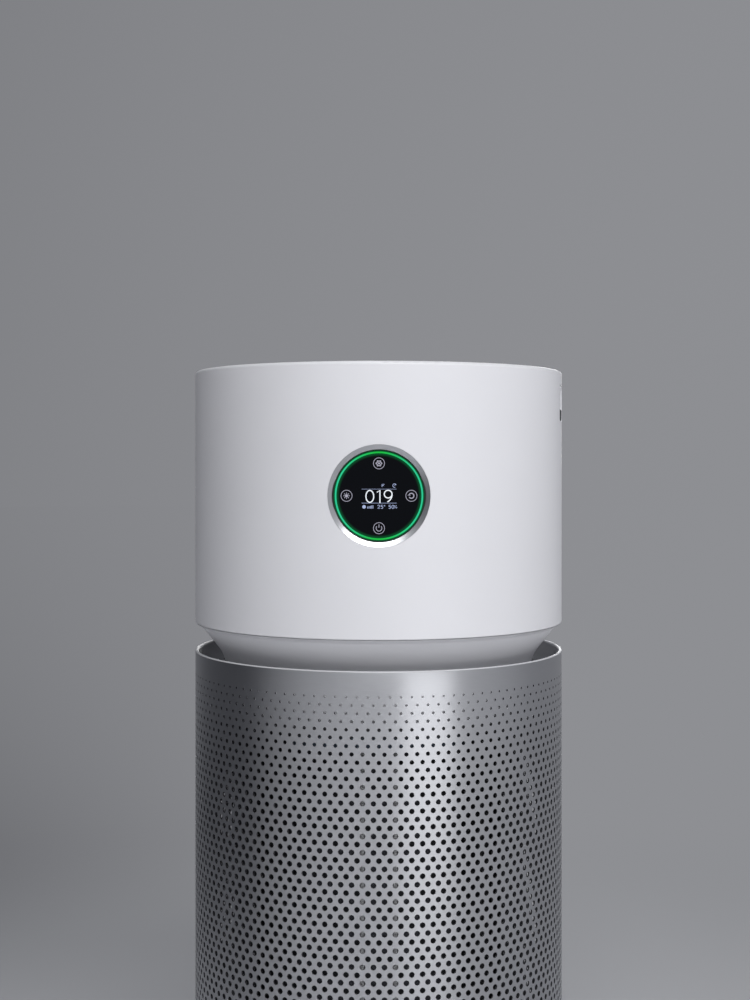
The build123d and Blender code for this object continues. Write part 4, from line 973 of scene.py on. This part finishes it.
@dataclass
class DisplayMarks:
    """What lights up behind the display's glass: figures, rules, status signs and four touch keys."""

    reading_colour: str = "#F2F8FF"
    status_colour: str = "#A9B6DC"
    key_colour: str = "#A6A4B4"
    key_circle: float = 24.8
    key_radius: float = 4.25
    hair: float = 0.42
    lift: float = 0.03 * MM
    sink: float = 0.05 * MM

    def ribbons(self, name: str, strokes: list[Stroke]) -> bpy.types.Object:
        """Carry a flat rectangle along each stroke.

        Each path point gets four corners: half the width to either side of the path, before and behind
        the glass's face. Open strokes are capped at both ends.

        Args:
            name: name of the piece.
            strokes: its strokes.

        Returns:
            The piece.
        """
        centre_right, face, centre_up = display_centre()
        depth = face + np.array([-self.lift, -self.lift, self.sink, self.sink])
        points, faces, total = [], [], 0
        for stroke in strokes:
            path = stroke.path
            if stroke.closed:
                along = np.roll(path, -1, 0) - np.roll(path, 1, 0)
            else:
                along = np.gradient(path, axis=0)
            along /= np.linalg.norm(along, axis=1)[:, None]
            side = np.stack([-along[:, 1], along[:, 0]], axis=1) * stroke.width / 2
            left, right = (path + side) * MM, (path - side) * MM
            x, z = np.moveaxis(np.stack([left, right, right, left], axis=1), -1, 0)
            places = np.broadcast_arrays(centre_right + x, depth, centre_up + z)
            points.append(np.stack(places, axis=-1).reshape(-1, 3))
            ids = total + np.arange(x.size).reshape(-1, 4)
            faces.append(grid_quads(ids, close_rows=stroke.closed, close_columns=True))
            if not stroke.closed:
                faces.append(np.stack([ids[0, ::-1], ids[-1]]))
            total += x.size
        return mesh_piece(name, np.vstack(points), faces)

    def number(self, text: str, right: float, up: float, scale: float = 0.3, pitch: float = 2.4,
               width: float = 1.3) -> list[Stroke]:
        """Return a number's strokes from its first figure on; the scale also thins the lines."""
        places = [(Digit(figure), right + k * pitch) for k, figure in enumerate(text)]
        return [s.placed(x, up, scale) for digit, x in places for s in digit.strokes(width)]

    def reading(self) -> list[Stroke]:
        """Return the strokes of the main reading."""
        places = {"0": -7.0, "1": 0.3, "9": 7.0}
        return sum([self.number(text, x, -0.45, scale=1.08, width=0.78) for text, x in places.items()], [])

    def status(self) -> list[Stroke]:
        """Draw the rules, the row below the reading and the signs above it.

        Returns:
            The strokes of rules, air dot, level bars, warmth, damp, timer and filter flag.
        """
        left, right, upper, lower, row = -13.3, 13.5, 5.1, -5.6, -8.45
        rules = [line((left, upper), (right, upper), width=0.2),
                 line((left, lower), (right, lower), width=0.26)]
        bars = [line((x, row - 1.3), (x, row + 0.2 + 0.25 * k), width=0.5)
                for k, x in enumerate(np.arange(-8.6, -4.0))]
        warmth = self.number("25", -0.2, row) + [circle(4.2, row + 0.9, 0.35, 0.26)]
        damp = self.number("50", 8.2, row) + [line((12.0, row - 1.1), (13.4, row + 1.1), width=0.3)]
        damp += [circle(12.7 + side * 0.75, row - side * 0.7, 0.3, 0.26) for side in (-1, 1)]
        timer = [arc(11.9, 7.8, 1.35, 1.35, 20, 290, 0.4), line((11.9, 7.8), (13.0, 8.9), width=0.4)]
        flag = [line((2.3, 6.7), (2.3, 8.8), (4.2, 8.8), width=0.4),
                line((2.3, 7.8), (3.7, 7.8), width=0.4)]
        return rules + [circle(-11.4, row, 0.7, 1.3)] + bars + warmth + damp + timer + flag

    def keys(self) -> list[Stroke]:
        """Draw the touch keys: a ring each, with fan, sun, turn and power signs.

        The fan's outline is a circle whose radius swells six times in a turn by a cosine.

        Returns:
            The strokes of all four keys.
        """
        reach = self.key_circle
        sides = ((0, 1), (-1, 0), (1, 0), (0, -1))
        rings = [circle(reach * x, reach * z, self.key_radius, self.hair) for x, z in sides]
        turn = np.linspace(0, FULL_TURN, 96, endpoint=False)
        petal = 1.85 + 0.4 * np.cos(6 * turn)
        outline = np.stack([petal * np.cos(turn), reach + petal * np.sin(turn)], axis=1)
        fan = [Stroke(outline, 0.65, closed=True), circle(0, reach, 0.4, 0.75)]
        spokes = [np.array([math.cos(ray), math.sin(ray)]) for ray in np.radians(np.arange(0, 360, 45))]
        sun = [circle(-reach, 0, 0.6, 1.15)]
        sun += [line(spoke * 1.5 - (reach, 0), spoke * 2.4 - (reach, 0), width=0.5) for spoke in spokes]
        cycle = [arc(reach, 0, 1.9, 1.9, -150, 165, 0.75),
                 line((reach - 2.7, 0.2), (reach - 1.6, 1.1), (reach - 0.9, -0.1), width=0.5)]
        power = [arc(0, -reach, 2.2, 2.2, 138, 402, 0.5),
                 line((0, 0.4 - reach), (0, 2.9 - reach), width=0.5)]
        return rings + fan + sun + cycle + power

    def build(self) -> None:
        """Make the three groups of marks, each in light of one colour."""
        groups = (
            ("screen_reading", self.reading(), "lit_white_figures", self.reading_colour),
            ("screen_status_row", self.status(), "lit_blue_figures", self.status_colour),
            ("touch_key_marks", self.keys(), "lit_grey_key_signs", self.key_colour),
        )
        for name, strokes, light, code in groups:
            finish = LitPlastic(light, code, 0.4, 1.49, centre=display_centre(), side_colour=code)
            settle(self.ribbons(name, strokes), Body.MAIN, finish, "screen")


@dataclass
class DisplayDish:
    """The silver ring that slopes from the glass up to the drum's face, with a black seal inside it."""

    finish: Finish
    seal_finish: Finish
    seal_width: float = 0.7 * MM
    seal_sink: float = 0.3 * MM
    side_sink: float = 2.8 * MM
    end_sink: float = 2.1 * MM
    flush: float = 0.05 * MM
    edge: float = 0.12 * MM
    steps: int = 14
    seal_steps: int = 7
    columns: int = 160

    def ring(self, name: str, turn: np.ndarray, radius: np.ndarray, depth: np.ndarray) -> bpy.types.Object:
        """Carry a closed profile round the display's axis.

        Args:
            name: name of the piece.
            turn: angles round the axis.
            radius: distance from the axis, one row for each point of the profile.
            depth: place along Y, one row for each point and one column for each angle.

        Returns:
            The piece.
        """
        right, _, up = display_centre()
        places = np.broadcast_arrays(right + radius * np.cos(turn), depth, up + radius * np.sin(turn))
        ids = np.arange(depth.size).reshape(depth.shape)
        faces = [grid_quads(ids, close_rows=True, close_columns=True)]
        return mesh_piece(name, np.stack(places, axis=-1).reshape(-1, 3), faces)

    def build(self) -> None:
        """Make the dish and the seal.

        The drum's face lies at the root of its radius squared less the sideways offset squared, so the
        dish's outer edge dips at both sides as any round cut in a cylinder does. From there the dish
        slopes inwards evenly, deeper at the sides than at the top and the bottom, and ends in a straight
        wall. The seal's front is a half round.
        """
        low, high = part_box("display_bezel")
        glass_low, glass_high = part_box("display_glass")
        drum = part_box("head_shell")[1].x
        outer = (high.x - low.x) / 2
        glass = (glass_high.x - glass_low.x) / 2
        inner = glass + self.seal_width
        turn = np.linspace(0, FULL_TURN, self.columns, endpoint=False)
        back = np.full(self.columns, high.y)

        rim = self.flush - np.sqrt(drum**2 - (outer * np.cos(turn)) ** 2)
        sink = self.side_sink * np.cos(turn) ** 2 + self.end_sink * np.sin(turn) ** 2
        share = np.linspace(0, 1, self.steps)[:, None]
        slope = inner + (outer - self.edge - inner) * share
        radius = np.vstack([[[inner]], slope, [[outer]], [[outer]]])
        depth = np.vstack([back, rim + sink * (1 - share), rim + self.edge, back])
        dish = self.ring("display_dish", turn, radius, depth)
        settle(dish, Body.MAIN, self.finish, "bezel_silver", "display_bezel")

        arch = np.linspace(0, math.pi, self.seal_steps)[:, None]
        half = self.seal_width / 2
        front = glass_low.y + self.seal_sink - half * np.sin(arch)
        radius = np.vstack([[[glass]], inner - half - half * np.cos(arch), [[inner]]])
        depth = np.vstack([back, np.tile(front, self.columns), back])
        settle(self.ring("display_seal", turn, radius, depth), Body.MAIN, self.seal_finish, "rubber")


@dataclass
class DustNet:
    """The dark net over the lower air slots of the sensor's cover."""

    finish: Finish
    turn_deg: float = -11.0
    half_width: float = 11.5 * MM
    setback: float = 1.2 * MM
    share: float = 0.34
    margin: float = 0.5 * MM
    corner: float = 2.6 * MM
    rise: float = 0.95 * MM
    sink: float = 0.5 * MM
    squareness: int = 16
    columns: int = 36
    rows: int = 18

    def build(self) -> None:
        """Lay a curved panel on the cover's face.

        Across and up run in cosine steps, closer towards the edges. The lower edge is straight with a
        quarter circle at either end. The panel bulges by its rise and dips at all edges into the cover,
        by one less a high power of the way across, times the same of the way up.
        """
        low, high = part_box("sensor_cover")
        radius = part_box("head_shell")[1].x - self.setback
        half = self.half_width
        across = -np.cos(np.linspace(0, math.pi, self.columns))
        upward = (1 - np.cos(np.linspace(0, math.pi, self.rows))) / 2
        side = np.abs(across) * half
        over = np.clip(side - (half - self.corner), 0, self.corner)
        lower = low.z + self.margin + self.corner - np.sqrt(self.corner**2 - over**2)
        upper = low.z + (high.z - low.z) * self.share
        height = lower + np.outer(upward, upper - lower)
        crest = (1 - across**self.squareness) * (1 - (2 * upward[:, None] - 1) ** self.squareness)
        reach = radius - self.sink + (self.sink + self.rise) * crest
        angle = math.radians(self.turn_deg) + across * half / radius
        ids = np.arange(height.size).reshape(height.shape)
        piece = mesh_piece("sensor_dust_net", around(reach, angle, height), [grid_quads(ids)])
        settle(piece, Body.VENT, self.finish, "filter_net")


@dataclass
class NetSeams:
    """Two welded edge strips of the filter's net, side by side at the front of the cartridge."""

    finish: Finish
    apart: float = 26.0 * MM
    width: float = 3.0 * MM
    thick: float = 0.5 * MM
    margin: float = 2.0 * MM
    lift: float = 0.05 * MM
    sink: float = 0.1 * MM
    rows: int = 40
    columns: int = 7

    def build(self) -> None:
        """Carry a flat strip up the net at each side of the front.

        Its crown is one less the fourth power of the way across, so its edges are rounded.
        """
        low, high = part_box("filter_net")
        radius = (high.x - low.x) / 2
        heights = np.linspace(low.z + self.margin, high.z - self.margin, self.rows)[:, None]
        across = np.linspace(-1, 1, self.columns)
        crown = self.thick * (1 - across**4) + self.lift
        reach = radius + np.concatenate([crown, np.full(self.columns, -self.sink)])
        ids = np.arange(self.rows * len(reach)).reshape(self.rows, -1)
        points, faces = [], []
        for order, side in enumerate((-1, 1)):
            angle = math.radians(FRONT_DEG) + (side * self.apart + across * self.width) / 2 / radius
            strip = ids + order * ids.size
            points.append(around(reach, np.concatenate([angle, angle[::-1]]), heights))
            faces += [grid_quads(strip, close_columns=True), strip[:1, ::-1], strip[-1:]]
        piece = mesh_piece("net_seam_strips", np.vstack(points), faces)
        settle(piece, Body.MAIN, self.finish, "filter_core")


@dataclass(frozen=True)
class Patch:
    """A soft patch of the surroundings: its turn from the front, how tight it is, and its colour."""

    turn_deg: float
    tightness: float
    colour: str


@dataclass(frozen=True)
class Lamp:
    """A rectangular soft lamp: where it hangs, what it faces, its size, power and full beam angle."""

    name: str
    place: Place
    aim: Place
    size: tuple[float, float]
    watts: float
    spread_deg: float = 180.0

    def hang(self) -> None:
        """Add the lamp to the scene."""
        data = bpy.data.lights.new(self.name, "AREA")
        data.shape = "RECTANGLE"
        data.size, data.size_y = self.size
        data.energy = self.watts
        data.spread = math.radians(self.spread_deg)
        lamp = bpy.data.objects.new(self.name, data)
        lamp.location = self.place
        facing = Vector(self.aim) - Vector(self.place)
        lamp.rotation_euler = facing.to_track_quat("-Z", "Y").to_euler()
        bpy.context.scene.collection.objects.link(lamp)


@dataclass
class Studio:
    """Pale floor, soft grey surroundings, four soft lamps and the camera.

    The surroundings are darker on the left and lighter on the right, with a bright patch in front and the
    grey of a wall behind. The camera's focal length, distance and framing were fitted to the object's
    outline in a picture of 750 by 1000 pixels.
    """

    dark_side: str = "#48494D"
    light_side: str = "#9A9B9F"
    patches: tuple[Patch, ...] = (Patch(12.0, 0.85, "#D2D3D6"), Patch(160.0, 3.0, "#8E8F93"))
    lamps: tuple[Lamp, ...] = (
        Lamp("low_side_lamp", (0.8, -1.5, 0.22), (0.0, 0.0, 0.3), (0.85, 0.4), 2.7),
        Lamp("softbox", (0.3, -1.3, 2.1), (0.0, 0.0, 0.5), (1.3, 0.9), 22.0),
        Lamp("floor_wash", (-0.25, -1.1, 2.2), (-0.25, -1.1, 0.0), (0.4, 0.4), 4.5, spread_deg=46.0),
        Lamp("back_fill", (0.3, 2.2, 0.9), (0.0, 0.0, 0.4), (0.8, 0.8), 1.8, spread_deg=40.0),
    )
    floor_colour: str = "#BEBFC2"
    floor_rings: tuple[float, ...] = (0.0005, 0.3, 0.8, 2.0, 5.0, 20.0)
    floor_sides: int = 64
    fade_start: float = 0.35
    fade_end: float = 1.2
    focal_px: float = 1479.56
    image_px: tuple[int, int] = (750, 1000)
    horizon_row: float = 465.05
    axis_column: float = 378.5
    distance: float = 1.282
    eye_drop: float = 0.0795
    sensor_mm: float = 36.0

    def surroundings(self, tree: Tree, direction: Socket) -> Node:
        """Mix the room's colour by the direction looked at.

        The two sides are mixed by the sideways share of the direction, and each patch is laid over them
        by the cosine of the angle to its middle, to the power of its tightness.

        Args:
            tree: node tree.
            direction: direction looked at, as a vector.

        Returns:
            The node that gives the colour.
        """
        aim = put(tree, "VectorMath", {0: direction}, operation="NORMALIZE")
        side = put(tree, "VectorMath", {0: aim, 1: (1.0, 0.0, 0.0)}, operation="DOT_PRODUCT")
        share = put(tree, "MapRange", {"Value": side, "From Min": -1.0})
        sides = {1: linear(self.dark_side), 2: linear(self.light_side)}
        colour = put(tree, "Mix", {0: share} | sides, data_type="RGBA")
        for patch in self.patches:
            turn = math.radians(patch.turn_deg)
            middle = (math.sin(turn), -math.cos(turn), 0.0)
            near = put(tree, "VectorMath", {0: aim, 1: middle}, operation="DOT_PRODUCT")
            clipped = put(tree, "MapRange", {"Value": near})
            share = put(tree, "Math", {0: clipped, 1: patch.tightness}, operation="POWER")
            colour = put(tree, "Mix", {0: share, 1: colour, 2: linear(patch.colour)}, data_type="RGBA")
        return colour

    def world(self) -> None:
        """Light the scene from all round by the surroundings."""
        world = bpy.data.worlds.new("soft_room")
        bpy.context.scene.world = world
        tree = cleared(world)
        colour = self.surroundings(tree, put(tree, "TexCoord").outputs["Generated"])
        put(tree, "OutputWorld", {"Surface": put(tree, "Background", {"Color": colour, "Strength": 1.0})})

    def floor(self) -> None:
        """Lay a flat round floor of rings that fades into the surroundings far from the object."""
        turn = np.linspace(0, FULL_TURN, self.floor_sides, endpoint=False)
        points = around(np.array(self.floor_rings)[:, None], turn, np.zeros(1))
        ids = np.arange(len(points)).reshape(len(self.floor_rings), -1)
        floor = mesh_piece("floor", points, [grid_quads(ids, close_columns=True)[:, ::-1], ids[:1]])
        made = bpy.data.materials.new("floor_paint")
        tree = cleared(made)
        place = put(tree, "TexCoord").outputs["Object"]
        far = put(tree, "VectorMath", {0: place}, operation="LENGTH")
        sockets = {"Value": far, "From Min": self.fade_start, "From Max": self.fade_end}
        share = put(tree, "MapRange", sockets, interpolation_type="SMOOTHSTEP")
        matt = put(tree, "BsdfDiffuse", {"Color": linear(self.floor_colour)})
        glow = put(tree, "Emission", {"Color": self.surroundings(tree, place), "Strength": 1.0})
        put(tree, "OutputMaterial", {"Surface": put(tree, "MixShader", {0: share, 1: matt, 2: glow})})
        floor.data.materials.append(made)

    def camera(self, top: float) -> None:
        """Stand a level camera in front, with the picture's focal length and framing.

        Args:
            top: height of the object's top rim.
        """
        wide, high = self.image_px
        data = bpy.data.cameras.new("camera")
        data.sensor_width = self.sensor_mm
        data.lens = self.focal_px * self.sensor_mm / high
        data.shift_y = (self.horizon_row - high / 2) / high
        camera = bpy.data.objects.new("camera", data)
        sideways = (wide / 2 - self.axis_column) * self.distance / self.focal_px
        camera.location = (sideways, -self.distance, top - self.eye_drop)
        camera.rotation_euler = (math.pi / 2, 0.0, 0.0)
        bpy.context.scene.collection.objects.link(camera)
        bpy.context.scene.camera = camera

    def build(self, top: float) -> None:
        """Set up the whole studio.

        Args:
            top: height of the object's top rim.
        """
        bpy.context.scene.view_settings.view_transform = "Standard"
        self.world()
        self.floor()
        for lamp in self.lamps:
            lamp.hang()
        self.camera(top)


def node_finishes() -> dict[str, Finish]:
    """Choose the finishes of the frame's own nodes.

    Returns:
        A finish for each material slot of the record.
    """
    centre = display_centre()
    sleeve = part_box("front_sleeve")[1]
    back = sleeve.x - PerforatedSkin.sheet
    return {
        # the skin: brushed satin metal that draws lamps out into upright bands
        "perforated_sheet": AnodisedSheet("satin_anodised_sheet", "#B8B9BD", 0.36, front_radius=sleeve.x,
                                          back_radius=back, top=sleeve.z),
        # the display: a black mirror in a satin silver dish, with a green light round it
        "bezel_silver": SpunMetal("spun_satin_aluminium", "#C4C5C9", 0.34, centre=centre),
        "black_glass": BackPaintedGlass("back_painted_glass", "#03050A", 0.05, 1.18, centre=centre),
        "light_guide": LitPlastic("lit_clear_acrylic", "#14BE3C", 0.3, 1.2, centre=centre,
                                  side_colour="#28CB94"),
        "screen": MouldedPlastic("dark_display_panel", "#0B0C0F", 0.25, 1.5),
        # mouldings: a soft sheen outside, a coarser and duller grain inside
        "white_plastic": MouldedPlastic("satin_white_abs", "#E4E4E8", 0.42, 1.46),
        "dark_plastic": MouldedPlastic("grained_dark_abs", "#2B2C2F", 0.55, 1.46, grain_mm=0.7,
                                       depth_mm=0.02),
        "charcoal_plastic": MouldedPlastic("satin_charcoal_abs", "#3A3B3E", 0.45, 1.46, depth_mm=0.012),
        "duct_plastic": MouldedPlastic("plain_grey_polypropylene", "#C2C4C7", 0.5, 1.49, depth_mm=0.015),
        "wheel_plastic": MouldedPlastic("glass_filled_nylon", "#232426", 0.5, 1.53, grain_mm=0.5,
                                        depth_mm=0.03),
        "switch_red": MouldedPlastic("red_acetal", "#B5301F", 0.35, 1.48),
        "filter_cap": MouldedPlastic("blue_grey_cast_polyurethane", "#7C8EA3", 0.5, 1.5, depth_mm=0.02),
        "filter_core": MouldedPlastic("white_polypropylene", "#DCDDDF", 0.45, 1.49, depth_mm=0.015),
        # soft pieces: matt, with pores, fibres or threads
        "rubber": SoftRubber("moulded_black_rubber", "#1B1B1C", 0.8, 1.52),
        "foam": SoftRubber("grey_sealing_foam", "#4A4B4D", 0.95, 1.4, grain_mm=1.6, depth_mm=0.4),
        "lead": SoftRubber("pvc_insulation", "#17181A", 0.5, 1.53, grain_mm=0.4, depth_mm=0.01),
        "filter_paper": PleatedPaper("glass_fibre_paper", "#E2DFD4", 0.9, 1.45),
        "filter_net": WovenNet("woven_nylon_net", "#3C3D43", 0.7, 1.53),
        # metal inside: plated and bright, cast and dull, or banded in layers
        "steel": PlainMetal("zinc_plated_steel", "#B9BBBE", 0.3, grain_mm=0.6, depth_mm=0.004),
        "magnet": PlainMetal("nickel_plated_magnet", "#A7A8AA", 0.22, grain_mm=0.8, depth_mm=0.003),
        "brass_pins": PlainMetal("tinned_brass", "#C9C2AE", 0.25, grain_mm=0.5, depth_mm=0.003),
        "motor_metal": PlainMetal("die_cast_aluminium", "#A6A8AB", 0.45, grain_mm=1.2, depth_mm=0.02),
        "copper": LayeredMetal("enamelled_copper_wire", "#B5673A", 0.35),
        "lamination": LayeredMetal("stacked_silicon_steel", "#77787B", 0.45, pitch_mm=0.7, dark_share=0.6),
    }


def board_finishes() -> dict[str, Finish]:
    """Choose the finishes of the circuit boards, each with its face read from the board's own box.

    Returns:
        A finish for each board.
    """
    bare = 1.6 * MM * 1.02       # a board's thickness and a hair, past which its parts stand
    resist = ("#1F5134", 0.35, 1.55)
    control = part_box("control_board")[0].y + bare
    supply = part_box("power_board")[1].z - bare
    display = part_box("display_board")[1].y - bare
    return {
        "control_board": CircuitBoard("control_board_resist", *resist, axis=Axis.Y, face=control),
        "power_board": CircuitBoard("power_board_resist", *resist, face=supply, upward=False),
        "display_board": CircuitBoard("display_board_resist", *resist, axis=Axis.Y, face=display,
                                      upward=False),
    }


def main() -> None:
    """Build the looks in order and report each piece."""
    logging.basicConfig(level=logging.INFO, format="%(name)s: %(message)s")
    finishes = node_finishes()
    boards = board_finishes()
    for part in frame["record"]["subparts"]:
        name = part["node"]
        finish = boards.get(name) or finishes[part["material_slot"]]
        dress(frame["nodes"][name], finish)
        log.info("%s: %s", name, finish.name)

    sheet = finishes["perforated_sheet"]
    PerforatedSkin("front_sleeve_sheet", "front_sleeve", Body.MAIN, sheet, FRONT_DEG,
                   180 - HALF_DOOR_DEG).build()
    PerforatedSkin("door_sheet", "door_skin", Body.DOOR, sheet, REAR_DEG, HALF_DOOR_DEG).build()
    DisplayDish(finishes["bezel_silver"], finishes["rubber"]).build()
    DisplayMarks().build()
    NetSeams(finishes["filter_core"]).build()
    DustNet(WovenNet("woven_dust_net", "#2B2C31", 0.7, 1.53, radius_mm=157.0, pleat_shade_swing=0.0)).build()
    Studio().build(CAD_BOX[1].z)


if __name__ == "__main__":
    main()
